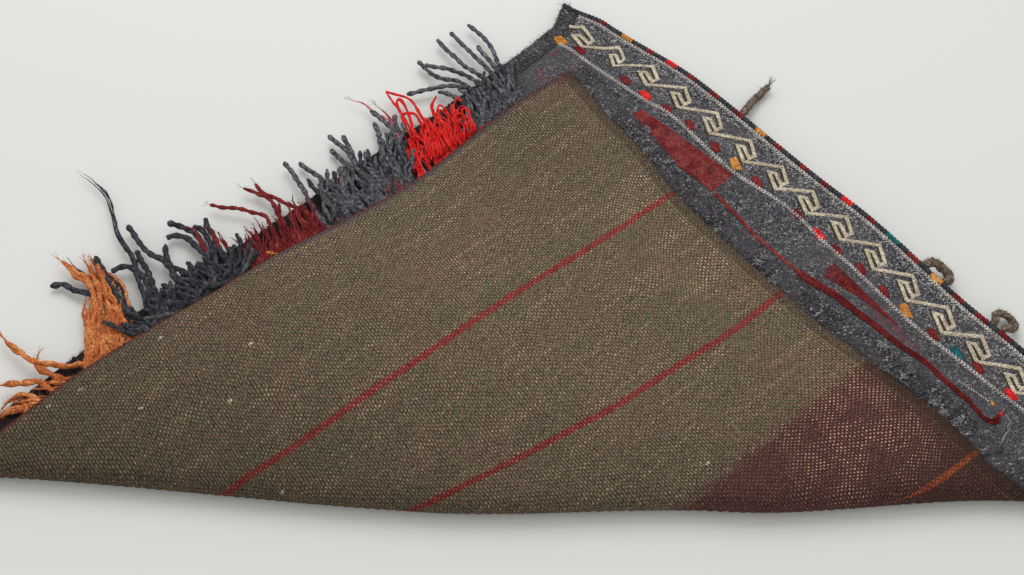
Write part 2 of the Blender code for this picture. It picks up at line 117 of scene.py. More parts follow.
class Finish:
    """A material with its shader, and the one way in which its nodes are made."""

    def __init__(self, name, roughness=0.95):
        self.material = bpy.data.materials.new(name)
        self.material.use_nodes = True
        self.tree = self.material.node_tree
        self.shader = self.tree.nodes["Principled BSDF"]
        self.shader.inputs["Roughness"].default_value = roughness
        self.shader.inputs["Specular IOR Level"].default_value = 0.20

    def plug(self, socket, value):
        if isinstance(value, Thread):
            self.tree.links.new(value.socket, socket)
        else:
            socket.default_value = value

    def node(self, kind, settings=None, sockets=None, output=0):
        made = self.tree.nodes.new("ShaderNode" + kind)
        for key, value in (settings or {}).items():
            setattr(made, key, value)
        for key, value in (sockets or {}).items():
            self.plug(made.inputs[key], value)
        return Thread(self, made.outputs[output])

    def mix(self, share, low, high):
        """Colour low where share is 0 and high where it is 1."""
        return self.node("Mix", {"data_type": "RGBA"}, {0: share, 6: low, 7: high}, 2)

    def mix_value(self, share, low, high):
        """Value low where share is 0 and high where it is 1."""
        return self.node("Mix", {"data_type": "FLOAT"}, {0: share, 2: low, 3: high})

    def lay(self, name="lay"):
        """Place in the flat bag, in mm: across it, down from its mouth, and a third value."""
        place = self.node("Attribute", {"attribute_name": name}, output=1)
        return [self.node("SeparateXYZ", {}, {0: place}, axis) for axis in range(3)]

    def pool(self, across, down, middle, reach):
        """1 in the middle of an oval patch of the flat cloth, 0 from its edge on."""
        wide = (across - middle[0]) / reach[0]
        high = (down - middle[1]) / reach[1]
        return (wide * wide + high * high).between(1.0, 0.0)

    def cloud(self, *place, scale=1.0, detail=2.0):
        """Soft noise, 0 to 1, at a place given by two or three values."""
        spot = self.node("CombineXYZ", {}, dict(enumerate(place)))
        return self.node("TexNoise", {}, {"Vector": spot, "Scale": scale, "Detail": detail})

    def speck(self, *place):
        """One even random value for each whole number of the place."""
        spot = self.node("CombineXYZ", {}, dict(enumerate(part.floor() for part in place)))
        return self.node("TexWhiteNoise", {"noise_dimensions": "3D"}, {"Vector": spot})

    def colour(self, value):
        self.plug(self.shader.inputs["Base Color"], value)

    def relief(self, height, depth, strength=1.0):
        """Bump of that depth in metres from a height of 0 to 1."""
        bump = self.node("Bump", {}, {"Strength": strength, "Distance": depth, "Height": height})
        self.plug(self.shader.inputs["Normal"], bump)


def link_mesh(name, points, faces, finishes, smooth_shaded=True):
    """A new mesh object of these points and faces, linked into the scene."""
    data = bpy.data.meshes.new(name)
    data.from_pydata([tuple(point) for point in points], [], faces)
    for finish in finishes:
        data.materials.append(finish.material)
    data.polygons.foreach_set("use_smooth", [smooth_shaded] * len(data.polygons))
    piece = bpy.data.objects.new(name, data)
    bpy.context.scene.collection.objects.link(piece)
    return piece


paper = Finish("floor_paper", 0.9)
paper.colour(dye(224, 225, 222))
FLOOR_REACH = 4.0
FLOOR_LEVEL = -0.0004
corners = [(x * FLOOR_REACH, y * FLOOR_REACH, FLOOR_LEVEL) for x, y in ((-1, -1), (1, -1), (1, 1), (-1, 1))]
floor = link_mesh("floor", corners, [(0, 1, 2, 3)], [paper], False)

room = bpy.data.worlds.new("room")
room.use_nodes = True
bpy.context.scene.world = room
backdrop = room.node_tree.nodes["Background"]
seen = room.node_tree.nodes.new("ShaderNodeLightPath")
blend = room.node_tree.nodes.new("ShaderNodeMix")
blend.data_type = "RGBA"
blend.inputs[6].default_value = (0.70, 0.70, 0.69, 1.0)
blend.inputs[7].default_value = dye(224, 225, 222)
room.node_tree.links.new(seen.outputs["Is Camera Ray"], blend.inputs[0])
room.node_tree.links.new(blend.outputs[2], backdrop.inputs["Color"])
backdrop.inputs["Strength"].default_value = 1.0

lamp_data = bpy.data.lights.new("soft_lamp", "AREA")
lamp_data.shape = "SQUARE"
lamp_data.size = 1.1
lamp_data.energy = 10.2
lamp = bpy.data.objects.new("soft_lamp", lamp_data)
lamp.location = (-0.15, 0.85, 1.35)
lamp.rotation_euler = (Vector((0.0, 0.0, 0.0)) - lamp.location).to_track_quat("-Z", "Y").to_euler()
bpy.context.scene.collection.objects.link(lamp)

# The back cloth
# One length of fine plain weave in olive-brown wool, with two thin dark-red stripes, a maroon
# zone towards the mouth with a rust stripe in it, and pale slubs. It lies under the whole bag,
# goes round the fold and comes up as the outside of the flap. What is woven or sewn is laid out
# flat first and then carried round the fold by one function, as the solids are.
BAG_WIDTH = 0.515
BAG_HEIGHT = 0.550
BACK_CLOTH = 0.0026
FRONT_CLOTH = 0.0030
CLOSED_GAP = 0.0005
BINDING_WIDTH = 0.015
STACK = BACK_CLOTH + CLOSED_GAP + FRONT_CLOTH
FRONT_DEPTH = BACK_CLOTH + CLOSED_GAP
CORNER = Vector((0.0232, 0.2093))
FOLD_POINT = Vector((0.0, -0.1931))
FOLD_RADIUS = 0.0026
AXIS_HEIGHT = STACK + FOLD_RADIUS
NEUTRAL_RADIUS = AXIS_HEIGHT - BACK_CLOTH / 2
BEND_LENGTH = math.pi * NEUTRAL_RADIUS
FLAP_SETTLE = 2 * FOLD_RADIUS - 0.0016
FLAP_SETTLE_RUN = 0.100
FLAP_RIPPLE = 0.0012
FLAP_RIPPLE_LENGTH = 0.180
POCKET_LIFT = 0.0052
POCKET_MARGIN = 0.026
POCKET_SLOPE = 0.105
MOUTH_BOW = ((0.0, -0.0015), (0.037, 0.0070), (0.110, 0.0105), (0.265, 0.003), (0.400, -0.0095),
             (0.515, -0.014))
LEFT_BOW = ((0.0, -0.0025), (0.026, 0.0080), (0.060, 0.0095), (0.135, 0.0095), (0.210, 0.006),
            (0.450, -0.0035), (0.550, -0.004))
BOTTOM_BOW = ((0.0, 0.004), (0.115, -0.006), (0.235, -0.003), (0.350, 0.007), (0.470, -0.004))
RIGHT_BOW = ((0.0, 0.008), (0.060, 0.001), (0.150, -0.010), (0.250, -0.008), (0.330, 0.0015),
             (0.358, 0.0032), (0.385, -0.0025), (0.410, -0.0075), (0.440, -0.003))
FOLD_BOW = ((-0.330, -0.006), (-0.070, -0.0135), (0.110, -0.002), (0.290, 0.016))


def heading(degrees):
    return Vector((math.cos(math.radians(degrees)), math.sin(math.radians(degrees))))


MOUTH_WAY = heading(-45.81)
DOWN_WAY = Vector((MOUTH_WAY.y, -MOUTH_WAY.x))
FOLD_WAY = heading(-3.46)
FOLD_NORMAL = Vector((-FOLD_WAY.y, FOLD_WAY.x))


def smooth(x):
    """Ease from 0 to 1."""
    x = min(max(x, 0.0), 1.0)
    return x * x * (3.0 - 2.0 * x)


def wander(table, place):
    """Read an edge's offset between the listed places."""
    if place <= table[0][0]:
        return table[0][1]
    for (start, low), (end, high) in zip(table, table[1:]):
        if place <= end:
            return low + (high - low) * smooth((place - start) / (end - start))
    return table[-1][1]


def near(distance):
    """Full at an edge, gone a little way into the cloth."""
    return 1.0 - smooth((distance - 0.045) / 0.040)


def plan(across, up):
    """Where a point of the flat bag lies on the floor before the fold."""
    return CORNER + MOUTH_WAY * across + DOWN_WAY * (BAG_HEIGHT - up)


def lift(place, from_fold):
    """How far the mouth of the pocket stands open at a place on the floor."""
    across = (place - CORNER).dot(MOUTH_WAY)
    sides = smooth((across - POCKET_MARGIN) / POCKET_SLOPE)
    sides *= smooth((BAG_WIDTH - POCKET_MARGIN - across) / POCKET_SLOPE)
    return POCKET_LIFT * sides * smooth((from_fold - POCKET_MARGIN) / POCKET_SLOPE)


def bowed(across, up):
    """The flat place, with the edges' wander, from the fold's middle point."""
    bowed_up = up + wander(MOUTH_BOW, across) * near(BAG_HEIGHT - up)
    bowed_up += wander(BOTTOM_BOW, across) * near(up)
    bowed_across = across + wander(LEFT_BOW, BAG_HEIGHT - up) * near(across)
    bowed_across += wander(RIGHT_BOW, up) * near(BAG_WIDTH - across)
    return plan(bowed_across, bowed_up) - FOLD_POINT


def folded(across, up, depth, front):
    """Carry a point of the flat bag to where it lies in the folded one."""
    place = bowed(across, up)
    along = place.dot(FOLD_WAY)
    beyond = place.dot(FOLD_NORMAL)
    on_flap = beyond <= -BEND_LENGTH
    if beyond >= 0.0:
        out = beyond
        height = depth
    elif on_flap:
        out = -beyond - BEND_LENGTH
        settled = smooth(out / FLAP_SETTLE_RUN)
        wave = math.sin(math.tau * along / FLAP_RIPPLE_LENGTH)
        wave *= math.cos(math.tau * out / FLAP_RIPPLE_LENGTH)
        height = 2 * AXIS_HEIGHT - depth - FLAP_SETTLE * settled
        height += FLAP_RIPPLE * (1.0 + wave) / 2 * settled
    else:
        angle = -beyond / NEUTRAL_RADIUS
        radius = AXIS_HEIGHT - depth
        out = -radius * math.sin(angle)
        height = AXIS_HEIGHT - radius * math.cos(angle)
    spot = FOLD_POINT + FOLD_WAY * along + FOLD_NORMAL * out
    if front or on_flap:
        height += lift(spot, out)
    spot.y += wander(FOLD_BOW, along) * (1.0 - smooth(abs(out) / 0.100))
    return Vector((spot.x, spot.y, max(height, 0.0)))


def straight(table, place):
    """Read a table along straight lines between its places, and on beyond its ends."""
    for (start, low), (end, high) in zip(table, table[1:]):
        if place <= end:
            break
    return low + (high - low) * (place - start) / (end - start)


def flap_share(across, up):
    """0 on the layer that lies on the floor, 1 on the flap a little way from the fold."""
    return smooth((-bowed(across, up).dot(FOLD_NORMAL) - 0.5 * BEND_LENGTH) / 0.020)


def keep_spots(piece, name, values):
    """Store a triple for each point of the piece, for its finish to read."""
    stored = piece.data.attributes.new(name, "FLOAT_VECTOR", "POINT")
    stored.data.foreach_set("vector", [value for spot in values for value in spot])


def woven_sheet(name, across, up, depth, front, cell, puff, finish):
    """A closed sheet of cloth with its lay kept in an attribute; puff moves its outer face."""
    columns = math.ceil((across[1] - across[0]) / cell)
    rows = math.ceil((up[1] - up[0]) / cell)
    points, lay = [], []
    for side, level in enumerate(depth):
        for row in range(rows + 1):
            v = up[0] + (up[1] - up[0]) * row / rows
            for column in range(columns + 1):
                u = across[0] + (across[1] - across[0]) * column / columns
                points.append(folded(u, v, level + puff(u, v, side), front))
                from_fold = abs(1000 * bowed(u, v).dot(FOLD_NORMAL))
                lay.append((u * 1000, (BAG_HEIGHT - v) * 1000, from_fold))
    width = columns + 1
    layer = width * (rows + 1)
    faces = []
    for row in range(rows):
        for column in range(columns):
            a = row * width + column
            b, c, d = a + 1, a + width + 1, a + width
            faces.append((d, c, b, a))
            faces.append((a + layer, b + layer, c + layer, d + layer))
    rim = list(range(width))
    rim += [row * width + columns for row in range(1, rows + 1)]
    rim += [rows * width + column for column in range(columns - 1, -1, -1)]
    rim += [row * width for row in range(rows - 1, 0, -1)]
    for a, b in zip(rim, rim[1:] + rim[:1]):
        faces.append((a, b, b + layer, a + layer))
    piece = link_mesh(name, points, faces, [finish])
    keep_spots(piece, "lay", lay)
    return piece, lay


def back_puff(across, up, side):
    """Slack and seams on the outside of the back cloth, where it shows on the flap."""
    if side:
        return 0.0
    slack = 0.0007 * noise.noise(Vector((across * 22, up * 30, 1.0)))
    slack += 0.0003 * noise.noise(Vector((across * 75, up * 95, 2.0)))
    seam = 0.0009 * math.exp(-((across - 0.4915) / 0.0016) ** 2)
    turned = 0.0005 * (1.0 - smooth((up - 0.0045) / 0.0015))
    return -(0.0006 + slack + seam + turned) * flap_share(across, up)


back_wool = Finish("olive_plain_weave", 0.95)
across, down, from_fold = back_wool.lay()
WARP, WEFT = 1.8, 1.5
sway_across = across + back_wool.cloud(across, down, scale=0.03) * 5.0
sway_across = sway_across + back_wool.cloud(across, down, 1.0, scale=0.25) * 0.9
sway_down = down + back_wool.cloud(across, down, 7.0, scale=0.03) * 5.0
sway_down = sway_down + back_wool.cloud(across, down, 9.0, scale=0.25) * 0.9
# Painted shade: rib, each warp thread's roundness, darkens the gaps between the threads; over, the over-under
# of warp and weft, gives the two yarns' own colours.
over = (sway_across * (math.pi / WARP)).sine() * (sway_down * (math.pi / WEFT)).sine()
rib = (sway_across * (math.pi / WARP)).sine().size()
breaks = back_wool.cloud(across * 1.3, down * 0.9, 5.0, scale=0.9, detail=1.0)
yarn = (over * 0.20 + rib * 0.46 + breaks * 0.9 - 0.26).between(0.05, 0.80)
grain = back_wool.speck(sway_across / WARP, sway_down / WEFT)
fine = back_wool.speck(sway_across / 0.8, sway_down / 0.7)
hue = back_wool.speck(sway_across / 1.1 + 57.0, sway_down / 1.0)
streak = back_wool.cloud(across * 0.06, down, scale=0.30, detail=4.0)
patch = back_wool.cloud(across, down, 3.0, scale=0.02, detail=3.0)
light = back_wool.mix(patch.between(0.38, 0.62), dye(126, 111, 88), dye(138, 114, 94))
light = back_wool.mix(0.3, light, back_wool.mix(hue > 0.5, dye(108, 118, 92), dye(148, 114, 100)))
light = back_wool.mix(streak.between(0.50, 0.70) * 0.5, light, dye(154, 130, 102))
dark = back_wool.mix(hue, dye(46, 42, 38), dye(60, 49, 38))
ragged = back_wool.cloud(across, down, 4.0, scale=0.12) * 6.0
maroon = (down + ragged + grain * 4.0).between(261.0, 250.0)
plain = back_wool.pool(across, down, (512.0, 200.0), (34.0, 110.0)) * 0.85
low = down.between(196.0, 150.0) * 0.7
light = back_wool.mix(maroon, light, back_wool.mix(plain, dye(108, 70, 64), dye(84, 62, 50)))
light = back_wool.mix(low, light, dye(80, 54, 44))
dark = back_wool.mix(maroon, dark, back_wool.mix(plain, dye(56, 36, 36), dye(42, 32, 28)))
warm = back_wool.pool(across, down, (470.0, 440.0), (60.0, 26.0))
warm = warm + back_wool.pool(across, down, (470.0, 378.0), (60.0, 34.0))
warm = warm * streak.between(0.40, 0.60) * 0.95 + streak.between(0.50, 0.66) * 0.55 + 0.07
scatter = back_wool.cloud(across, down, 6.0, scale=0.05, detail=3.0).between(0.36, 0.62)
glow = back_wool.pool(across, down, (462.0, 216.0), (70.0, 62.0)) * 1.3
glow = (glow * scatter + 0.10) * (1.0 - plain)
knot = over.between(0.30, 0.85) * (grain * 0.8 + 0.2)
fleck = knot * back_wool.mix_value(maroon, warm, glow).least(0.95)
light = back_wool.mix(fleck, light, back_wool.mix(maroon, dye(218, 198, 156), dye(238, 192, 158)))
STRIPE_DYES = ((dye(158, 58, 55), dye(92, 30, 34)), (dye(154, 56, 54), dye(88, 28, 34)),
               (dye(178, 90, 48), dye(98, 42, 24)))
for band, (bright, deep) in zip(back_wool.lay("bands"), STRIPE_DYES):
    inside = (band.size() + grain * 0.8 + fine * 0.5).between(3.3, 2.3) * 0.92
    worn = back_wool.mix(fleck * 0.8 + knot * 0.3, bright, dye(208, 130, 112))
    light = back_wool.mix(inside, light, worn)
    dark = back_wool.mix(inside, dark, deep)
rim = down.between(546.4, 547.4) * across.between(205.0, 275.0) * 0.8
light = back_wool.mix(rim, light, dye(104, 98, 100))
dark = back_wool.mix(rim, dark, dye(44, 42, 46))
red_rim = (down + grain * 2.2).between(549.0, 550.0) * 0.45
light = back_wool.mix(red_rim, light, dye(116, 62, 56))
tip = back_wool.pool(across, down, (500.0, 549.0), (22.0, 14.0)) * 0.6
light = back_wool.mix(tip, light, dye(124, 70, 62))
selvage = across.between(491.5, 493.0) * 0.5
light = back_wool.mix(selvage, light, dye(70, 58, 46))
seam = (across - 491.6 + fine * 0.4).size().between(0.9, 0.3) * (1.0 - maroon * 0.7) * 0.5
light = back_wool.mix(seam, light, dye(136, 118, 90))
dark = back_wool.mix(seam, dark, dye(100, 86, 66))
SLUBS = ((203.0, 501.8), (172.9, 480.4), (160.4, 540.4), (127.2, 506.1), (104.0, 540.6), (83.0, 544.0),
         (168.0, 416.2), (207.5, 331.1), (372.0, 262.0))
for spot in SLUBS:
    slub = back_wool.pool(across, down, spot, (2.2, 1.2)).between(0.05, 0.4)
    light = back_wool.mix(slub, light, dye(226, 212, 182))
# The dark tone is partly the yarns' own colour and partly painted shade in the gaps between warp threads.
tone = back_wool.mix(yarn, dark, light)
# Painted shade: the cloth is darkened near the fold; it is also made darker towards the left and in a patch
# near the bottom edge by the fringe.
painted_shade = 1.0 - from_fold.between(120.0, 10.0) * 0.24 - across.between(360.0, 130.0) * 0.22
painted_shade = painted_shade - down.between(420.0, 520.0) * across.between(340.0, 440.0) * 0.13
shade = grain * 0.24 + fine * 0.46 + back_wool.cloud(across, down, scale=1.0, detail=2.0) * 0.5 + 0.34
back_wool.colour(back_wool.node("VectorMath", {"operation": "SCALE"}, {0: tone, "Scale": shade * painted_shade}))
back_wool.relief(yarn * 0.7 + grain * 0.3, 0.0006, 0.8)

INSIDE = (BINDING_WIDTH, BAG_WIDTH - BINDING_WIDTH)
CLOTH_CELL = 0.0045
HEM_RADIUS = 0.0013
HEM_SET_BACK = 0.0050
CLEARANCE = 0.0003
back_top = BAG_HEIGHT - HEM_SET_BACK - 2 * HEM_RADIUS
back_cloth, woven_lay = woven_sheet("back_cloth", INSIDE, (0.0, back_top - CLEARANCE), (0.0, BACK_CLOTH),
                                    False, CLOTH_CELL, back_puff, back_wool)

STRIPES = (
    ((0.150, 0.4355), (0.208, 0.4337), (0.236, 0.4326), (0.252, 0.4315), (0.274, 0.4292), (0.297, 0.4276),
     (0.345, 0.4271), (0.392, 0.4256), (0.414, 0.4240), (0.453, 0.4230), (0.497, 0.4228)),
    ((0.300, 0.3399), (0.323, 0.3342), (0.342, 0.3296), (0.358, 0.3263), (0.384, 0.3235), (0.4105, 0.3212),
     (0.436, 0.3185), (0.459, 0.3178), (0.497, 0.3190)),
    ((0.436, 0.1663), (0.4425, 0.1630), (0.455, 0.1588), (0.470, 0.1555), (0.487, 0.1537), (0.5005, 0.1533)))


def from_stripes(across, down):
    """How far a place lies from each stripe's middle, in mm; the rust stripe thins to a tip."""
    thinning = (1.0, 1.0, 1.1 / max(0.05, smooth((across - 430) / 40)))
    return [(down - 1000 * straight(stripe, across / 1000)) * share
            for stripe, share in zip(STRIPES, thinning)]


keep_spots(back_cloth, "bands", [from_stripes(across, down) for across, down, away in woven_lay])
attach(back_cloth, "root")
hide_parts("back_panel")

# The front cloth
# The heavier patterned face in dark slate wool with paler grey flecks. It goes round the fold
# inside the back cloth, so that only a strip along the mouth and a band behind the fringe show.


def melange(name, dark, middle, pale, share):
    """Slate wool with paler fibres carded in; a larger share shows more of the palest ones."""
    finish = Finish(name, 0.95)
    across, down = finish.lay()[:2]
    slant = across + (down / 1.7).floor() * 0.55 + finish.cloud(across, down, 1.0, scale=0.3) * 1.5
    sway = down + finish.cloud(across, down, 5.0, scale=0.3) * 1.5
    grain = finish.speck(slant / 0.85, sway / 0.85)
    clump = finish.cloud(across, down, 2.0, scale=0.11, detail=3.0)
    haze = finish.cloud(across, down, scale=0.03, detail=2.0)
    tone = finish.mix(grain.between(0.10, 0.90), dye(*dark), dye(*middle))
    tone = finish.mix(haze.between(0.45, 0.62) * 0.4, tone, dye(88, 84, 88))
    tone = finish.mix((grain + clump * 0.5).between(1.06 - share, 1.24 - share), tone, dye(*pale))
    return finish, across, down, grain, clump, tone


def shade_melange(finish, across, down, grain, tone, depth):
    """Paint light and shade on a melange by its fine fibres, darker where their relief is low, and give it
    their relief.
    """
    fine = finish.cloud(across, down, scale=1.3, detail=2.0)
    # Painted light and shade: the colour is scaled by the same noise that raises the relief.
    finish.colour(finish.node("VectorMath", {"operation": "SCALE"}, {0: tone, "Scale": fine * 0.7 + 0.66}))
    finish.relief(grain * 0.7 + fine * 0.5, depth, 0.8)


face_wool, across, down, grain, clump, tone = melange("slate_face_weave", (44, 46, 51), (98, 96, 99),
                                                      (158, 157, 157), -0.05)
pale_rows = down.between(16.0, 10.0) + down.between(15.0, 22.0) * down.between(36.0, 30.0) * 0.5
tone = face_wool.mix(pale_rows * (grain + clump * 0.5).between(0.98, 1.10), tone, dye(166, 164, 160))
soft = across.between(64.0, 30.0) * down.between(30.0, 46.0)
tone = face_wool.mix(soft * 0.4, tone, dye(82, 80, 84))
tone = face_wool.mix(soft * clump.between(0.56, 0.66) * 0.6, tone, dye(112, 58, 66))
tint = face_wool.pool(across, down, (345.0, 52.5), (36.0, 6.0)) * grain.between(0.1, 0.7)
tone = face_wool.mix(tint * 0.8, tone, dye(112, 62, 68))
for spot, colour in (((19.6, 219.8), dye(196, 122, 58)), ((20.9, 292.9), dye(190, 110, 52)),
                     ((30.0, 250.0), dye(98, 34, 36)), ((26.0, 186.0), dye(96, 34, 38))):
    inlaid = face_wool.pool(across, down, spot, (5.5, 4.5)).between(0.1, 0.5)
    tone = face_wool.mix(inlaid, tone, colour)
shade_melange(face_wool, across, down, grain, tone, 0.0005)


def front_puff(across, up, side):
    """A little slack on the front cloth's own face, kept clear of what lies on it."""
    if not side:
        return 0.0
    return 0.0002 * noise.noise(Vector((across * 60, up * 60, 3.0))) * (1.0 - flap_share(across, up))


CORD_RADIUS = 0.0022
cord_room = 2 * CORD_RADIUS + CLEARANCE
front_cloth = woven_sheet("front_cloth", INSIDE, (0.0, BAG_HEIGHT - cord_room), (FRONT_DEPTH, STACK), True,
                          CLOTH_CELL, front_puff, face_wool)[0]
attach(front_cloth, "root")
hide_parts("front_panel")

# The side bindings
# The two cloths are joined at each side by close overcast stitches of thick dark wool, worn down
# to a felted strip. Loose wraps and short fibres stand off it, with white tufts on the right one.


def shell(points_of_ring, rings, sides):
    """Points and faces of a closed tube whose points are given by a function of ring and side."""
    points = [points_of_ring(ring, side) for ring in range(rings) for side in range(sides)]
    faces = []
    for ring in range(rings - 1):
        for side in range(sides):
            a = ring * sides + side
            b = ring * sides + (side + 1) % sides
            faces.append((a, b, b + sides, a + sides))
    faces.append(tuple(reversed(range(sides))))
    faces.append(tuple(range((rings - 1) * sides, rings * sides)))
    return points, faces


def wool(name, colour, light, roughness=0.93, depth=0.0003, scale=900.0, patches=130.0):
    """Dyed wool yarn: tone that shifts along it, a fine fibrous relief, and painted shade: a darker copy of
    its colour where the relief is low.
    """
    finish = Finish(name, roughness)
    place = finish.node("NewGeometry", output=0)
    clouds = finish.node("TexNoise", {}, {"Vector": place, "Scale": patches, "Detail": 3.0})
    fibres = finish.node("TexNoise", {}, {"Vector": place, "Scale": scale, "Detail": 3.0})
    tone = finish.mix(clouds.between(0.35, 0.68), dye(*colour), dye(*light))
    # Painted shade: the colour at 0.55 is mixed in where the fibre noise, which is also the relief's height,
    # is low.
    dark = [part * 0.55 for part in colour]
    tone = finish.mix(fibres.between(0.62, 0.36) * 0.75, tone, dye(*dark))
    finish.colour(tone)
    finish.relief(fibres, depth, 0.9)
    return finish


class Yarns:
    """Yarns and loose fibres gathered into one mesh, each in one of the mesh's colours."""

    def __init__(self, seed):
        self.chance = random.Random(seed)
        self.points = []
        self.faces = []
        self.dyes = []

    def fibre(self, root, way, length, width=0.00014, colour=0):
        """A loose fibre of two thin tapering blades that curls off its way."""
        roll = self.chance
        drift = Vector((roll.uniform(-1, 1), roll.uniform(-1, 1), roll.uniform(-0.6, 0.6)))
        middle = root + (way + drift * 0.3).normalized() * length * 0.5
        tip = middle + (way + drift).normalized() * length * 0.5
        flat = way.cross(drift).normalized() * width
        start = len(self.points)
        low = [root - flat, root + flat, middle + flat * 0.6, middle - flat * 0.6, tip]
        self.points += [Vector((spot.x, spot.y, max(spot.z, 0.0003))) for spot in low]
        self.faces += [(start, start + 1, start + 2, start + 3), (start + 3, start + 2, start + 4)]
        self.dyes += [colour, colour]

    def strand(self, line, radius, plies=2, pitch=0.0075, sides=8, lobe=0.17, blunt=1.04, fibres=12,
               colour=0, taper=1.0):
        """A yarn along a centre line; blunt sizes its end, and 0 thins it to a point."""
        count = len(line)
        roll = self.chance
        phase = roll.uniform(0, math.tau)
        travelled = 0.0
        start = len(self.points)
        for number, spot in enumerate(line):
            before = line[max(number - 1, 0)]
            after = line[min(number + 1, count - 1)]
            tangent = (after - before).normalized()
            if number:
                travelled += (spot - before).length
            across = tangent.cross(Vector((0.0, 0.0, 1.0)))
            across = across.normalized() if across.length > 0.05 else Vector((1.0, 0.0, 0.0))
            lifted = across.cross(tangent).normalized()
            end = (count - 1 - number) / max(1.0, 0.004 / max(1e-6, (line[1] - line[0]).length))
            size = radius * (1.0 + (taper - 1.0) * number / (count - 1))
            if blunt > 0:
                size *= (1.0 + (blunt - 1.0) * (end < 1.3)) * (0.6 if number == count - 1 else 1.0)
            else:
                size *= 0.25 + 0.75 * smooth(end / 4.0)
            size *= 1.0 + 0.22 * noise.noise(Vector((travelled * 260, phase, 5.0)))
            turned = phase + math.tau * travelled / pitch
            for side in range(sides):
                turn = math.tau * side / sides
                wide = size * (1.0 - lobe + lobe * math.cos(plies * turn - turned))
                place = spot + across * math.cos(turn) * wide + lifted * math.sin(turn) * wide
                self.points.append(Vector((place.x, place.y, max(place.z, 0.0002))))
        for ring in range(count - 1):
            for side in range(sides):
                a = start + ring * sides + side
                b = start + ring * sides + (side + 1) % sides
                self.faces.append((a, b, b + sides, a + sides))
        self.faces.append(tuple(start + (count - 1) * sides + side for side in range(sides)))
        self.faces.append(tuple(start + side for side in reversed(range(sides))))
        self.dyes += [colour] * ((count - 1) * sides + 2)
        for _ in range(fibres):
            number = roll.randrange(1, count)
            way = Vector((roll.uniform(-1, 1), roll.uniform(-1, 1), roll.uniform(-0.2, 1.0))).normalized()
            self.fibre(line[number] + way * radius * 0.7, way, roll.uniform(0.001, 0.0035), 0.00010, colour)

    def shape(self, points, faces, colour=0):
        """Add the points and faces of a ready form."""
        start = len(self.points)
        self.points += points
        self.faces += [tuple(start + corner for corner in face) for face in faces]
        self.dyes += [colour] * len(faces)

    def finish(self, name, finishes, slot, *nodes):
        piece = link_mesh(name, self.points, self.faces, finishes)
        piece.data.polygons.foreach_set("material_index", self.dyes)
        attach(piece, "root")
        if nodes:
            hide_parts(*nodes)
        return piece


dark_slate = wool("dark_slate_wool", (50, 51, 57), (84, 84, 90), patches=350.0)
mid_slate = wool("mid_slate_wool", (78, 77, 82), (112, 110, 114), patches=350.0)
pale_fleece = wool("pale_fleece", (146, 145, 148), (206, 204, 204), depth=0.0005)
black_brown = wool("black_brown_wool", (34, 31, 34), (52, 46, 50))
plum = wool("plum_wool", (66, 34, 38), (98, 50, 54))
binding_base, across, down, grain, clump, tone = melange("binding_melange", (36, 37, 42), (86, 82, 85),
                                                         (176, 174, 176), -0.09)
tone = binding_base.mix((across < 60.0) * down.between(104.0, 130.0), tone, dye(44, 36, 40))
shade_melange(binding_base, across, down, grain, tone, 0.0008)
WHITE_TUFTS = (161.6, 179.0, 190.6, 201.0, 228.0, 238.0, 250.8, 330.0, 345.0, 437.0, 445.0, 462.0, 475.0,
               500.0)


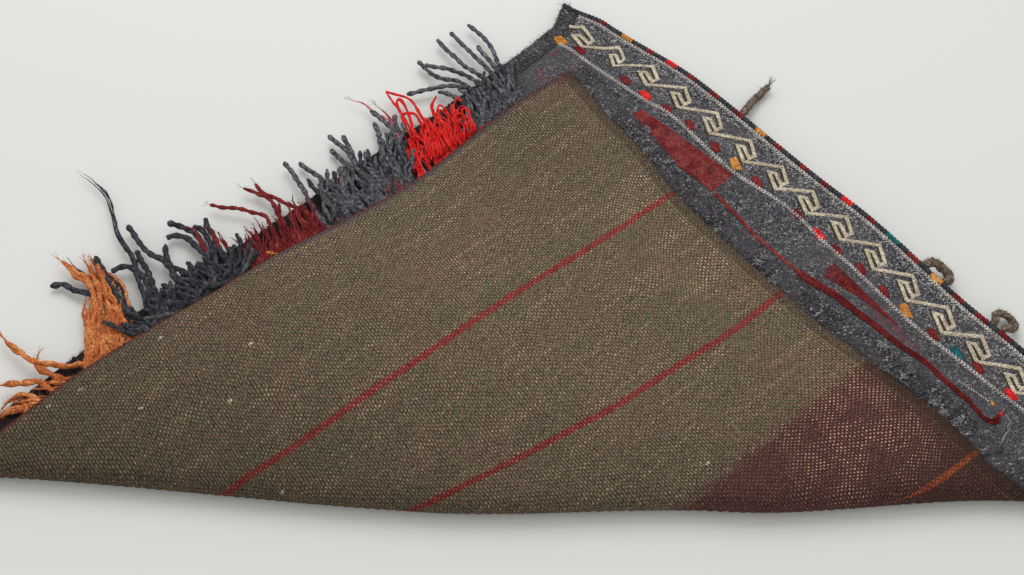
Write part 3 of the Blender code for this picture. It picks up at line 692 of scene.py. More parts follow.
def binding(name, start, seed, node, tones):
    """One side's binding: felted wool and loose wraps round both cloths, bottom to mouth."""
    right_side = start > 0.0
    middle = start + BINDING_WIDTH / 2
    top = BAG_HEIGHT - cord_room
    lay = []

    def round_edges(up, turn, swell):
        """A place on the rounded strip, at a turn round it."""
        flat = [math.copysign(abs(part) ** 0.55, part) for part in (math.cos(turn), math.sin(turn))]
        return folded(middle + flat[0] * (BINDING_WIDTH / 2 + swell), min(max(up, 0.0003), top),
                      STACK / 2 + flat[1] * (STACK / 2 + swell), False)

    def lumpy(ring, side):
        """A place on the felted core, uneven at the scale of a stitch and of a thumb."""
        up = top * ring / (rings - 1)
        turn = math.tau * side / sides
        lump = 0.0007 * noise.noise(Vector((up * 330, side * 0.9, seed))) + 0.0003
        outer = max(0.0, math.cos(turn) + 0.4)
        lump += 0.0008 * noise.noise(Vector((up * 70, side * 0.4, seed + 3.0))) * outer
        lay.append(((middle + math.cos(turn) * 0.009) * 1000, (BAG_HEIGHT - up) * 1000, 0.0))
        return round_edges(up, turn, lump)

    wraps = Yarns(seed)
    rings = int(top / 0.0013)
    sides = 16
    wraps.shape(*shell(lumpy, rings, sides), 5)
    roll = wraps.chance
    up = 0.002
    while up < top - 0.001:
        down = 1000 * (BAG_HEIGHT - up)
        colour, radius, loose, step = tones(down, roll)
        lean = roll.uniform(-loose, loose)
        sink = roll.uniform(-0.0005, 0.0003)
        first = roll.randrange(16)
        turns = [math.tau * (first + k * 0.8) / 16 for k in range(roll.choice((8, 12, 20)))]
        line = [round_edges(up + lean * math.cos(turn + 0.3) + 0.0008 * math.sin(3 * turn + up * 900), turn,
                            sink + 0.0004 * math.sin(2 * turn + up * 700)) for turn in turns]
        wraps.strand(line, radius, plies=2, pitch=0.004, sides=5, blunt=0, fibres=0, colour=colour)
        up += step * roll.uniform(0.6, 1.4)
    for _ in range(5200):
        up = roll.uniform(0.002, top - 0.002)
        turn = roll.uniform(0, math.tau)
        down = 1000 * (BAG_HEIGHT - up)
        root = round_edges(up, turn, 0.0009)
        if root.z < 0.0012 and roll.random() < 0.7:
            continue
        tufted = right_side and min(abs(down - spot) for spot in WHITE_TUFTS) < 3.0
        colour = roll.choice((0, 0, 0, 1, 1)) if right_side or down < 105 else roll.choice((3, 3, 4, 0))
        if tufted and roll.random() < 0.3 and math.cos(turn) > -0.9:
            colour = 2
        way = Vector((roll.uniform(-1, 1), roll.uniform(-1, 1), roll.uniform(-0.05, 0.45))).normalized()
        wraps.fibre(root, way, roll.uniform(0.0012, 0.0036), 0.00022 if colour == 2 else 0.00017, colour)
    if right_side:
        for spot in WHITE_TUFTS:
            middle_turn = -math.pi / 2 + roll.uniform(-0.9, 0.9)
            comb = Vector((roll.uniform(-1, 1), roll.uniform(-1, 1), 0.15)).normalized()
            for _ in range(roll.choice((60, 90, 130))):
                up = BAG_HEIGHT - (spot + roll.gauss(0, 1.5)) / 1000
                root = round_edges(up, middle_turn + roll.gauss(0, 0.2), 0.0017)
                way = comb + Vector((roll.uniform(-1, 1), roll.uniform(-1, 1), roll.uniform(-0.2, 0.5))) * 0.6
                wraps.fibre(root, way.normalized(), roll.uniform(0.0010, 0.0024), 0.00044, 2)
    lay += [(0.0, 0.0, 0.0)] * (len(wraps.points) - len(lay))
    piece = wraps.finish(name, [dark_slate, mid_slate, pale_fleece, black_brown, plum, binding_base],
                         "binding_wool", node)
    keep_spots(piece, "lay", lay)
    return piece


def left_tones(down, roll):
    """Black and plum ribs, but smooth grey wool near the mouth."""
    if down < 105:
        return roll.choice((0, 1, 1)), 0.0005, 0.004, 0.006
    if 188 < down < 216:
        return roll.choice((3, 4, 4)), 0.0010, 0.003, 0.0022
    return roll.choice((3, 3, 3, 0, 4)), 0.0010, 0.003, 0.0022


def right_tones(down, roll):
    """Slate wool, uneven and loose."""
    return roll.choice((0, 0, 1)), roll.uniform(0.0006, 0.0009), 0.006, 0.0060


left_binding = binding("left_side_binding", 0.0, 11, "binding_left", left_tones)
right_binding = binding("right_side_binding", BAG_WIDTH - BINDING_WIDTH, 12, "binding_right", right_tones)

# The cord along the mouth
# A core cord wrapped closely with coloured wool and caught to the front cloth's mouth edge. Dark
# slate runs between short lengths of dark red, orange, scarlet and teal.
dark_red = wool("dark_red_wool", (118, 34, 36), (154, 56, 54))
orange = wool("orange_wool", (206, 134, 58), (236, 170, 92))
scarlet = wool("scarlet_wool", (236, 32, 31), (252, 66, 58))
teal = wool("teal_wool", (22, 94, 98), (48, 130, 134))
CORD_WRAP = 0.0029
MIDDLE = FRONT_DEPTH + FRONT_CLOTH / 2
COLOURED_LENGTHS = (
    (31, 37, 1), (53, 62, 2), (74, 81, 1), (93, 103, 3), (114, 122, 1), (136, 144, 1), (159, 168, 1),
    (181, 190, 2), (199, 207, 1), (224, 231, 1), (243, 250, 1), (262, 271, 3), (284, 291, 1), (302, 313, 4),
    (322, 332, 1), (343, 352, 2), (362, 371, 1), (382, 391, 1), (400, 409, 1), (428, 438, 3), (452, 461, 1),
    (478, 487, 1))


def wrapped_cord():
    """The cord with its wraps, and a colour for each length of start, end and colour number."""
    rings = int(BAG_WIDTH / CORD_WRAP) * 5
    sides = 10

    def ring_point(ring, corner):
        across = BAG_WIDTH * ring / (rings - 1)
        turn = math.tau * corner / sides
        wraps = abs(math.sin(math.pi * (across / CORD_WRAP + 0.5 * math.sin(turn) / math.pi)))
        radius = CORD_RADIUS * (0.80 + 0.30 * wraps ** 0.7)
        radius *= 1.0 + 0.10 * noise.noise(Vector((across * 90, corner, 4.0)))
        return folded(across, BAG_HEIGHT - CORD_RADIUS + radius * math.cos(turn),
                      MIDDLE + radius * math.sin(turn), True)

    points, faces = shell(ring_point, rings, sides)
    piece = link_mesh("wrapped_mouth_cord", points, faces, [dark_slate, dark_red, orange, scarlet, teal])
    for number, face in enumerate(piece.data.polygons):
        across = 1000 * BAG_WIDTH * (number // sides) / (rings - 1)
        for low, high, colour in COLOURED_LENGTHS:
            if low <= across < high:
                face.material_index = colour
    return piece


mouth_cord = wrapped_cord()
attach(mouth_cord, "root")
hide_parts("mouth_cord")

# The back cloth's rolled hem and the piping along the bottom edge
# The back cloth's mouth edge is rolled into a thin hem. Along the bottom edge the cloths are
# closed by a fine dark-red cord, which shows as a thin line between the flap and the fringe.


TWIST = 0.004


def flat_tube(name, span, up, depth, radius, front, finish, node):
    """A thin twisted cord that runs across the flat bag."""
    rings = int((span[1] - span[0]) / (TWIST / 4))
    sides = 8

    def ring_point(ring, corner):
        across = span[0] + (span[1] - span[0]) * ring / (rings - 1)
        turn = math.tau * corner / sides
        size = radius * (0.88 + 0.16 * math.cos(2 * (turn - math.pi * across / TWIST)))
        return folded(across, up + size * math.cos(turn), depth + size * math.sin(turn), front)

    points, faces = shell(ring_point, rings, sides)
    piece = link_mesh(name, points, faces, [finish])
    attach(piece, "root")
    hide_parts(node)
    return piece


hem_wool = wool("hem_wool", (86, 76, 62), (108, 95, 78))
back_hem = flat_tube("rolled_back_hem", INSIDE, back_top + HEM_RADIUS, HEM_RADIUS, HEM_RADIUS, False,
                     hem_wool, "back_hem")
piping_wool = wool("piping_wool", (94, 46, 44), (124, 68, 60))
PIPING_RADIUS = 0.0011
piping = flat_tube("bottom_piping", INSIDE, -PIPING_RADIUS - CLEARANCE, BACK_CLOTH / 2, PIPING_RADIUS, False,
                   piping_wool, "bottom_cord")

# The border along the mouth
# Brocaded on the face: two pale stitched lines, an ivory running scroll between them with a thin
# dark outline, small coloured lozenges under the inner line, two dark-red blocks and a dark-red
# line that ends in a hook. Each is raised a little above the cloth, in short slanting stitches.


class Stitches(Yarns):
    """Short raised stitches laid on the front cloth, gathered into one mesh."""

    def stitch(self, across, down, way, length, width, height, colour=0):
        """One stitch: a low rounded grain, its middle at across and down from the mouth."""
        roll = self.chance
        way += roll.uniform(-0.15, 0.15)
        length *= roll.uniform(0.85, 1.15)
        along = (math.cos(way), math.sin(way))
        rings = ((-0.5, 0.30, 0.25), (-0.28, 0.85, 0.8), (0.1, 1.0, 1.0), (0.34, 0.8, 0.75),
                 (0.5, 0.28, 0.2))
        points = []
        for place, wide, high in rings:
            for turn in (-1.0, -0.6, 0.0, 0.6, 1.0):
                off = turn * width / 2 * wide
                rise = height * high * math.sqrt(max(0.0, 1.0 - turn * turn))
                u = across + along[0] * place * length - along[1] * off
                v = down + along[1] * place * length + along[0] * off
                points.append(folded(u, BAG_HEIGHT - v, STACK + rise, True))
        faces = [(4, 3, 2, 1, 0), (20, 21, 22, 23, 24)]
        for ring in range(4):
            a = ring * 5
            faces += [(a + side, a + side + 1, a + side + 6, a + side + 5) for side in range(4)]
            faces.append((a, a + 5, a + 9, a + 4))
        self.shape(points, faces, colour)

    def run(self, route, pitch, lean, length, width, height, colour=0):
        """Stitches along a route of (across, down) points, each leaning off the route."""
        left = 0.0
        for (u0, v0), (u1, v1) in zip(route, route[1:]):
            stretch = math.hypot(u1 - u0, v1 - v0)
            way = math.atan2(v1 - v0, u1 - u0)
            while left < stretch:
                share = left / stretch
                self.stitch(u0 + (u1 - u0) * share, v0 + (v1 - v0) * share, way + lean, length, width,
                            height, colour)
                left += pitch
            left -= stretch

    def oval(self, across, down, half, rows, colour=0):
        """A small inlaid lozenge of rows of stitches, in mm."""
        for row in range(-rows, rows + 1):
            reach = half * (1.0 - abs(row) / (rows + 1.1)) / 1000
            middle = across / 1000 + row * 0.0006
            level = down / 1000 + row * 0.0012 - 0.0008
            self.run(((middle - reach, level), (middle + reach, level)), 0.0015, 0.3, 0.0026, 0.0017, 0.0005,
                     colour)


ivory = wool("ivory_wool", (202, 187, 162), (230, 217, 196), depth=0.0002)
chalk = wool("chalk_wool", (184, 176, 172), (226, 218, 212), depth=0.0002)
block_red = wool("block_red_wool", (140, 46, 48), (176, 86, 82), depth=0.0004)
dull_brown = wool("outline_wool", (66, 58, 42), (90, 80, 58))


def edge_route(table, start, end, off=0.0):
    """Places across and down along a line of the border that wanders by a table."""
    count = round((end - start) / 0.006)
    steps = [start + (end - start) * k / count for k in range(count + 1)]
    return [(across, wander(table, across) + off) for across in steps]


OUTER_LINE = ((0.018, 0.0062), (0.497, 0.0062))
INNER_LINE = ((0.018, 0.0368), (0.038, 0.0400), (0.105, 0.0430), (0.128, 0.0397), (0.190, 0.0428),
              (0.243, 0.0365), (0.283, 0.0410), (0.352, 0.0413), (0.400, 0.0380), (0.497, 0.0378))
for name, table, node in (("outer_border_line", OUTER_LINE, "border_line_outer"),
                          ("inner_border_line", INNER_LINE, "border_line_inner")):
    line = Stitches(21)
    for half, lean in ((-0.0006, 0.62), (0.0006, -0.62)):
        line.run(edge_route(table, 0.017, 0.498, half), 0.0024, lean, 0.0029, 0.0014, 0.0006)
    line.finish(name, [chalk], "ivory_wool", node)

SCROLL_UNIT = ((0.0, 13.8), (11.0, 21.0), (9.7, 25.8), (0.4, 21.4), (-3.6, 23.9), (8.8, 30.8))
SCROLL_STARTS = (21.4, 55.6, 90.0, 121.2, 153.0, 186.1, 216.8, 245.1, 274.8, 305.1, 335.5, 366.5, 395.0,
                 425.5, 455.0, 485.0)


def corners_kept(route, step):
    """The route with points about a step apart, its corners kept."""
    fine = [route[0]]
    for (u0, v0), (u1, v1) in zip(route, route[1:]):
        pieces = max(1, round(math.hypot(u1 - u0, v1 - v0) / step))
        fine += [(u0 + (u1 - u0) * k / pieces, v0 + (v1 - v0) * k / pieces) for k in range(1, pieces + 1)]
    return fine


scroll_route = [(0.0118, 0.0172), (0.0166, 0.0160)]
scroll_route += [((start + u) / 1000, v / 1000) for start in SCROLL_STARTS for u, v in SCROLL_UNIT]
scroll_route = [spot for spot in scroll_route if spot[0] < 0.496]


def ribbon(name, route, width, height, rib, finish, offset=(0.0, 0.0), node=None):
    """A flat ribbed yarn laid along a route on the face, with mitred corners."""
    fine = [Vector(spot) for spot in corners_kept(route, rib / 3)]
    rows = []
    for number, spot in enumerate(fine):
        before = fine[max(number - 1, 0)]
        after = fine[min(number + 1, len(fine) - 1)]
        first = (spot - before).normalized() if number else (after - spot).normalized()
        last = (after - spot).normalized() if number < len(fine) - 1 else first
        bend = (first + last).normalized() if (first + last).length > 0.05 else first
        square = Vector((-bend.y, bend.x))
        mitre = min(1.5, 1.0 / max(0.35, abs(bend.dot(first))))
        rows.append((spot + Vector(offset), square * mitre, number))
    section = ((-1.0, 0.0), (-0.8, 0.65), (0.0, 1.0), (0.8, 0.65), (1.0, 0.0))
    sides = len(section)

    def ring_point(ring, corner):
        spot, square, number = rows[ring]
        ribbed = 1.0 - 0.28 * (number % 3 == 0)
        off, rise = section[corner]
        place = spot + square * off * width / 2 * (0.9 + 0.1 * ribbed)
        return folded(place.x, BAG_HEIGHT - place.y, STACK + rise * height * ribbed, True)

    points, faces = shell(ring_point, len(rows), sides)
    piece = link_mesh(name, points, faces, [finish])
    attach(piece, "root")
    if node:
        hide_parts(node)
    return piece


scroll = ribbon("running_scroll", scroll_route, 0.0031, 0.0004, 0.0012, ivory,
                node="border_hooks")
outline = ribbon("scroll_outline", scroll_route, 0.0019, 0.0003, 0.0015, dull_brown,
                 offset=(-0.0009, 0.0015))

RED_LINE = ((0.198, 0.0630), (0.218, 0.0651), (0.246, 0.0686), (0.283, 0.0700), (0.315, 0.0655),
            (0.354, 0.0625), (0.384, 0.0572), (0.402, 0.0596), (0.416, 0.0610), (0.430, 0.0665))
red_line = Stitches(22)
for off in (-0.0006, 0.0006):
    red_line.run(edge_route(RED_LINE, 0.200, 0.296, off), 0.0017, 0.4, 0.0024, 0.0014, 0.0007, 1)
hook = [(0.4355, 0.0695), (0.4405, 0.0680), (0.4425, 0.0620), (0.4415, 0.0560)]
for off in (-0.0021, -0.0007, 0.0007, 0.0021):
    bent = [(across + off, down + off) for across, down in hook]
    red_line.run(edge_route(RED_LINE, 0.282, 0.430, off) + bent, 0.0017, 0.4, 0.0024, 0.0015, 0.0010)
madder_line = red_line.finish("madder_line", [dark_red, block_red], "madder_wool", "red_line")

BLOCKS = ((0.1110, 0.1980, (0.0512, 0.0455), (0.0652, 0.0631), 0.0011),
          (0.2915, 0.3520, (0.0485, 0.0500), (0.0600, 0.0520), 0.0018))
for number, (start, end, top, foot, spacing) in enumerate(BLOCKS, 1):
    patch_rows = Stitches(30 + number)
    rows = round((foot[0] - top[0]) / spacing)
    for row in range(rows + 1):
        share = row / rows
        ragged = 0.0005 * ((row * 7) % 4)
        first = start + ragged + 0.004 * abs(share - 0.4)
        last = end - ragged - (0.0 if number == 1 else 0.020 * share)
        levels = [high + (low - high) * share for high, low in zip(top, foot)]
        patch_rows.run(((first, levels[0]), (last, levels[1])), 0.0018, 0.5, 0.0023, 0.0014, 0.0007)
    patch_rows.finish(f"madder_block_{number}", [block_red if number == 1 else dark_red],
                                    "madder_wool", f"red_block_{number}")

lozenges = Stitches(40)
for colour, half, rows, places in (
        (1, 5.4, 3, ((14.6, 33.6), (192.7, 37.4), (349.1, 38.1))),
        (2, 5.6, 2, ((105.7, 39.7), (270.8, 39.2), (434.0, 34.5))),
        (3, 5.0, 2, ((391.0, 36.0),)),
        (0, 5.2, 2, ((31.7, 35.3), (85.0, 37.8), (126.0, 38.4), (147.4, 36.8), (172.9, 37.4), (213.6, 37.0),
                     (250.3, 36.7), (288.0, 39.5), (308.7, 38.0), (330.5, 38.7), (372.8, 37.1), (407.5, 33.9),
                     (452.0, 36.0), (472.0, 36.5))),
        (1, 4.0, 1, ((57.5, 3.4), (185.6, 3.6), (347.5, 3.8))),
        (2, 4.0, 1, ((98.0, 3.2),)),
        (3, 4.4, 0, ((307.5, 3.4),)),
        (1, 1.4, 1, ((431.0, 49.4),)),
        (2, 1.2, 1, ((440.7, 52.6),))):
    for across, down in places:
        lozenges.oval(across, down, half, rows, colour)
inlays = lozenges.finish("coloured_lozenges", [dark_red, orange, scarlet, teal], "madder_wool")

ticks = Stitches(41)
ticks.run(((0.4045, 0.0512), (0.4100, 0.0504), (0.4200, 0.0493), (0.4285, 0.0493)), 0.0019, 0.9, 0.0026,
          0.0011, 0.0008)
ticks.run(((0.4440, 0.0505), (0.4500, 0.0540), (0.4515, 0.0610), (0.4545, 0.0650), (0.4555, 0.0740),
           (0.4585, 0.0840)), 0.0024, 0.3, 0.0026, 0.0012, 0.0008)
ticks.run(((0.4765, 0.0826), (0.4745, 0.0870), (0.4780, 0.0919)), 0.0024, 0.3, 0.0026, 0.0012, 0.0008)
pale_ticks = ticks.finish("pale_stitches", [chalk], "ivory_wool")

# The fringe
# Tufts of plied wool in six colours are knotted into the bottom edge and lie over the front
# cloth, the left binding and the floor. Navy and slate are firm two-ply cords with blunt ends,
# rust and dark red are matted and frayed, and scarlet is a fine yarn in loops.
ROOT_WIDTH = 0.009


def ground(place):
    """Height of what the fringe lies on: the front cloth, or the floor beside the bag."""
    away = place - CORNER
    inside = away.dot(MOUTH_WAY) - wander(LEFT_BOW, away.dot(DOWN_WAY))
    from_fold = (place - FOLD_POINT).dot(FOLD_NORMAL)
    onto_bag = smooth((inside + 0.007) / BINDING_WIDTH + 1.0)
    return (STACK + lift(place, from_fold)) * onto_bag


def mirrored(way):
    """Turn a direction of the flat bag over with the flap."""
    return way - 2 * way.dot(FOLD_NORMAL) * FOLD_NORMAL


flat_corner = plan(BAG_WIDTH - BINDING_WIDTH, 0.0)
corner_beyond = (flat_corner - FOLD_POINT).dot(FOLD_NORMAL)
flap_corner = flat_corner - FOLD_NORMAL * (2 * corner_beyond + BEND_LENGTH)


def fringe_place(along, out):
    """A place on the floor, from the folded-over corner down the bottom edge and out."""
    return flap_corner - mirrored(MOUTH_WAY) * along + mirrored(DOWN_WAY) * out


def wobble(place, seed):
    """A vector that changes smoothly along a strand, the same in every run."""
    return Vector([noise.noise(Vector((place, seed, 31.7 * axis))) for axis in range(3)])


def curve_through(points, step):
    """Points about a step apart on a smooth curve through the given ones."""
    spots = [Vector(point) for point in points]
    spots = [spots[0] * 2 - spots[1]] + spots + [spots[-1] * 2 - spots[-2]]
    path = [spots[1]]
    for before, start, end, after in zip(spots, spots[1:], spots[2:], spots[3:]):
        pieces = max(1, round((end - start).length / step))
        for piece in range(1, pieces + 1):
            share = piece / pieces
            path.append(0.5 * (2 * start + (end - before) * share
                               + (2 * before - 5 * start + 4 * end - after) * share * share
                               + (3 * start - before - 3 * end + after) * share * share * share))
    return path


class Tuft(Yarns):
    """One colour of fringe, gathered into one mesh."""

    def route(self, places, tip_height, radius, sway=0.0, step=0.0016):
        """A strand's centre line from inside the bottom edge down to what it lies on."""
        root = folded(BAG_WIDTH - BINDING_WIDTH - places[0][0], -ROOT_WIDTH * 0.2,
                      FRONT_DEPTH + FRONT_CLOTH / 2, True)
        spots = [root.to_2d()] + [fringe_place(*place) for place in places[1:]]
        path = curve_through([(*spot, 0.0) for spot in spots], step)
        seed = self.chance.uniform(0, 100)
        line = []
        for number, point in enumerate(path):
            share = number / (len(path) - 1)
            drift = wobble(number * step * 75, seed) * sway * smooth(share * 3)
            spot = Vector((point.x + drift.x, point.y + drift.y))
            rest = ground(spot) + radius * 1.05
            height = max(rest, root.z + (tip_height - root.z) * share + abs(drift.z))
            line.append(Vector((spot.x, spot.y, root.z if number == 0 else height)))
        return line

    def frayed(self, line, radius, count, spread, length, colour=0):
        """Loose yarns that part at a strand's end."""
        roll = self.chance
        way = (line[-1] - line[-4]).normalized()
        for _ in range(count):
            aside = Vector((roll.uniform(-1, 1), roll.uniform(-1, 1), roll.uniform(-0.2, 0.6))) * spread
            reach = length * roll.uniform(0.5, 1.0)
            tip = line[-1] + (way + aside).normalized() * reach
            tip.z = max(tip.z, ground(tip.to_2d()) + radius)
            middle = (line[-1] + tip) / 2 + Vector((0, 0, 0.001))
            path = curve_through([line[-4], line[-1], middle, tip], 0.0025)
            self.strand(path, radius, plies=1, sides=5, blunt=0, fibres=3, colour=colour)

    def fill(self, span, count, out, radius, lean=0.0, rise=0.004, sway=0.002, spread=0.010, colours=(0,),
             **look):
        """Short strands that crowd the edge between the long ones."""
        roll = self.chance
        for _ in range(count):
            along = roll.uniform(*span)
            reach = out[0] + (out[1] - out[0]) * roll.random() ** 1.3
            side = roll.uniform(-spread, spread) + lean * reach
            places = ((along, 0.0), (along + side * 0.45, reach * 0.5), (along + side, reach))
            height = roll.uniform(0.2, 1.0) * rise
            tip = ground(fringe_place(*places[-1])) + radius + height
            self.strand(self.route(places, tip, radius, sway), radius * roll.uniform(0.8, 1.1),
                        colour=roll.choice(colours), **look)


navy_strands = (
    ((0.343, 0), (0.347, 0.039), (0.350, 0.050), (0.357, 0.060), (0.363, 0.069), (0.367, 0.079),
     (0.374, 0.083)),
    ((0.345, 0), (0.344, 0.047), (0.342, 0.062), (0.341, 0.073), (0.339, 0.083)),
    ((0.333, 0), (0.330, 0.022), (0.324, 0.039), (0.323, 0.048), (0.325, 0.058), (0.330, 0.064),
     (0.337, 0.066)),
    ((0.328, 0), (0.326, 0.022), (0.322, 0.036), (0.319, 0.047), (0.317, 0.059), (0.315, 0.071)),
    ((0.307, 0), (0.306, 0.016), (0.306, 0.050), (0.308, 0.057), (0.311, 0.066), (0.310, 0.077),
     (0.309, 0.092)),
    ((0.297, 0), (0.297, 0.015), (0.297, 0.025), (0.300, 0.035), (0.304, 0.043), (0.303, 0.052),
     (0.297, 0.063)),
    ((0.290, 0), (0.287, 0.018), (0.282, 0.036), (0.282, 0.047), (0.283, 0.057), (0.288, 0.065),
     (0.294, 0.067)),
    ((0.284, 0), (0.282, 0.020), (0.279, 0.031), (0.278, 0.045), (0.278, 0.057), (0.282, 0.067),
     (0.287, 0.076)),
    ((0.281, 0), (0.279, 0.018), (0.276, 0.034), (0.273, 0.046), (0.272, 0.057), (0.275, 0.064)),
    ((0.278, 0), (0.276, 0.019), (0.272, 0.033), (0.269, 0.046), (0.269, 0.054), (0.265, 0.063)))
rust_strands = (
    ((0.384, 0), (0.388, 0.013), (0.399, 0.020), (0.409, 0.032), (0.414, 0.046), (0.417, 0.056),
     (0.417, 0.069)),
    ((0.396, 0), (0.404, 0.012), (0.410, 0.024), (0.411, 0.032), (0.407, 0.040)),
    ((0.409, 0), (0.412, 0.006), (0.415, 0.018), (0.425, 0.026), (0.436, 0.034)),
    ((0.420, 0), (0.423, 0.007), (0.428, 0.017), (0.436, 0.020), (0.443, 0.017)),
    ((0.428, 0), (0.431, 0.003), (0.436, 0.011), (0.447, 0.013)),
    ((0.384, 0), (0.381, 0.013), (0.373, 0.029), (0.359, 0.045), (0.354, 0.061), (0.353, 0.071),
     (0.357, 0.080),
     (0.359, 0.095)),
    ((0.377, 0), (0.374, 0.012), (0.365, 0.031), (0.353, 0.051), (0.348, 0.067), (0.346, 0.078),
     (0.345, 0.085)),
    ((0.368, 0), (0.365, 0.011), (0.357, 0.029), (0.352, 0.049), (0.345, 0.064), (0.342, 0.079),
     (0.343, 0.083)),
    ((0.358, 0), (0.355, 0.011), (0.350, 0.029), (0.347, 0.046), (0.346, 0.058), (0.342, 0.072),
     (0.342, 0.080)),
    ((0.353, 0), (0.351, 0.010), (0.348, 0.017), (0.345, 0.022)))
dark_red_strands = (
    ((0.252, 0), (0.238, 0.020), (0.232, 0.036), (0.237, 0.048), (0.244, 0.058), (0.256, 0.072)),
    ((0.206, 0), (0.208, 0.015), (0.211, 0.029), (0.217, 0.043), (0.222, 0.056), (0.222, 0.067)),
    ((0.240, 0), (0.227, 0.028), (0.222, 0.049), (0.225, 0.058), (0.230, 0.069)),
    ((0.236, 0), (0.231, 0.014), (0.225, 0.031), (0.219, 0.042)))
slate_strands = (
    ((0.205, 0), (0.204, 0.018), (0.200, 0.040), (0.197, 0.058), (0.196, 0.070)),
    ((0.195, 0), (0.191, 0.022), (0.184, 0.041), (0.186, 0.054), (0.187, 0.065)),
    ((0.170, 0), (0.163, 0.027), (0.158, 0.041), (0.156, 0.051), (0.158, 0.071)),
    ((0.170, 0), (0.165, 0.019), (0.157, 0.040), (0.153, 0.053), (0.150, 0.064)),
    ((0.180, 0), (0.174, 0.017), (0.165, 0.037), (0.163, 0.061)),
    ((0.187, 0), (0.182, 0.015), (0.174, 0.031), (0.169, 0.042)),
    ((0.158, 0), (0.152, 0.013), (0.137, 0.036), (0.130, 0.049), (0.125, 0.060)),
    ((0.143, 0), (0.131, 0.023), (0.120, 0.045), (0.120, 0.057), (0.121, 0.071)),
    ((0.138, 0), (0.132, 0.015), (0.121, 0.034), (0.116, 0.047), (0.110, 0.057)))
scarlet_strands = (
    ((0.128, 0), (0.117, 0.024), (0.112, 0.036), (0.109, 0.048), (0.105, 0.060), (0.103, 0.076),
     (0.102, 0.074),
     (0.096, 0.065), (0.094, 0.056), (0.097, 0.042), (0.102, 0.028), (0.109, 0.018), (0.112, 0.004)),
    ((0.122, 0), (0.114, 0.022), (0.107, 0.040), (0.099, 0.060), (0.100, 0.066), (0.105, 0.060),
     (0.109, 0.042),
     (0.113, 0.026), (0.120, 0.006)),
    ((0.112, 0), (0.109, 0.040), (0.107, 0.052), (0.099, 0.048), (0.100, 0.039), (0.104, 0.022),
     (0.110, 0.006)),
    ((0.100, 0), (0.094, 0.017), (0.091, 0.025), (0.089, 0.035), (0.084, 0.046), (0.076, 0.052)),
    ((0.084, 0), (0.082, 0.008), (0.079, 0.015), (0.079, 0.025), (0.075, 0.034)))
corner_strands = (
    ((0.073, 0), (0.067, 0.026), (0.066, 0.040), (0.072, 0.055)),
    ((0.069, 0), (0.055, 0.034), (0.059, 0.049), (0.075, 0.060), (0.092, 0.067)),
    ((0.064, 0), (0.054, 0.034), (0.056, 0.052), (0.065, 0.066), (0.066, 0.088)),
    ((0.058, 0), (0.046, 0.036), (0.050, 0.060), (0.064, 0.082)),
    ((0.053, 0), (0.040, 0.036), (0.043, 0.064), (0.042, 0.096)),
    ((0.048, 0), (0.033, 0.038), (0.031, 0.068), (0.030, 0.095)),
    ((0.043, 0), (0.028, 0.038), (0.025, 0.058), (0.023, 0.072)),
    ((0.038, 0), (0.024, 0.042), (0.015, 0.068), (0.014, 0.094)))

navy = wool("navy_wool", (46, 49, 56), (88, 88, 94), patches=380.0)
rust = wool("rust_wool", (220, 124, 68), (246, 168, 106), depth=0.0006)
rust_deep = wool("rust_deep_wool", (196, 104, 56), (230, 138, 80), depth=0.0006)
slate = wool("slate_wool", (68, 69, 76), (136, 134, 140), depth=0.0004, patches=380.0)
grey_hair = wool("grey_hair", (84, 82, 88), (130, 126, 128))

rust_tuft = Tuft(101)
roll = rust_tuft.chance
for number, places in enumerate(rust_strands):
    for copy in range(2 if number < 5 else 3):
        shift = roll.uniform(-0.0013, 0.0013) * (number > 4)
        moved = tuple((along + shift, out) for along, out in places)
        radius = roll.uniform(0.0018, 0.0024)
        line = rust_tuft.route(moved, roll.uniform(0.003, 0.008), radius, 0.0030)
        rust_tuft.strand(line, radius, plies=2, pitch=0.011, lobe=0.22, blunt=0, fibres=60, colour=copy % 2)
    rust_tuft.frayed(line, 0.0004, 4, 0.5, 0.009)
rust_tuft.fill((0.364, 0.388), 90, (0.015, 0.066), 0.0017, lean=-0.44, sway=0.004, spread=0.006, lobe=0.22,
               blunt=0, fibres=34, colours=(0, 0, 1))
rust_tuft.fill((0.386, 0.432), 26, (0.006, 0.022), 0.0013, lean=0.9, sway=0.003, lobe=0.22, blunt=0,
               fibres=20, colours=(0, 1))
for colour, off in ((0, -0.0008), (2, 0.0008)):
    places = ((0.350, 0), (0.348 + off, 0.020), (0.342 + off, 0.035), (0.338 + off, 0.049),
              (0.338 + off, 0.058), (0.340 + off, 0.066))
    rust_tuft.strand(rust_tuft.route(places, 0.006, 0.0013, 0.001), 0.0013, colour=colour)
for _ in range(9):
    shift = roll.uniform(-0.001, 0.001)
    places = ((0.360, 0), (0.353 + shift, 0.060), (0.353 + shift, 0.077), (0.355 - shift, 0.086),
              (0.356 - 3 * shift, 0.094))
    rust_tuft.strand(rust_tuft.route(places, 0.007, 0.0003, 0.001), 0.0003, sides=4, blunt=0, fibres=1,
                     colour=3)
rust_fringe = rust_tuft.finish("rust_tuft", [rust, rust_deep, dark_slate, grey_hair], "rust_wool",
                               "tassel_rust")

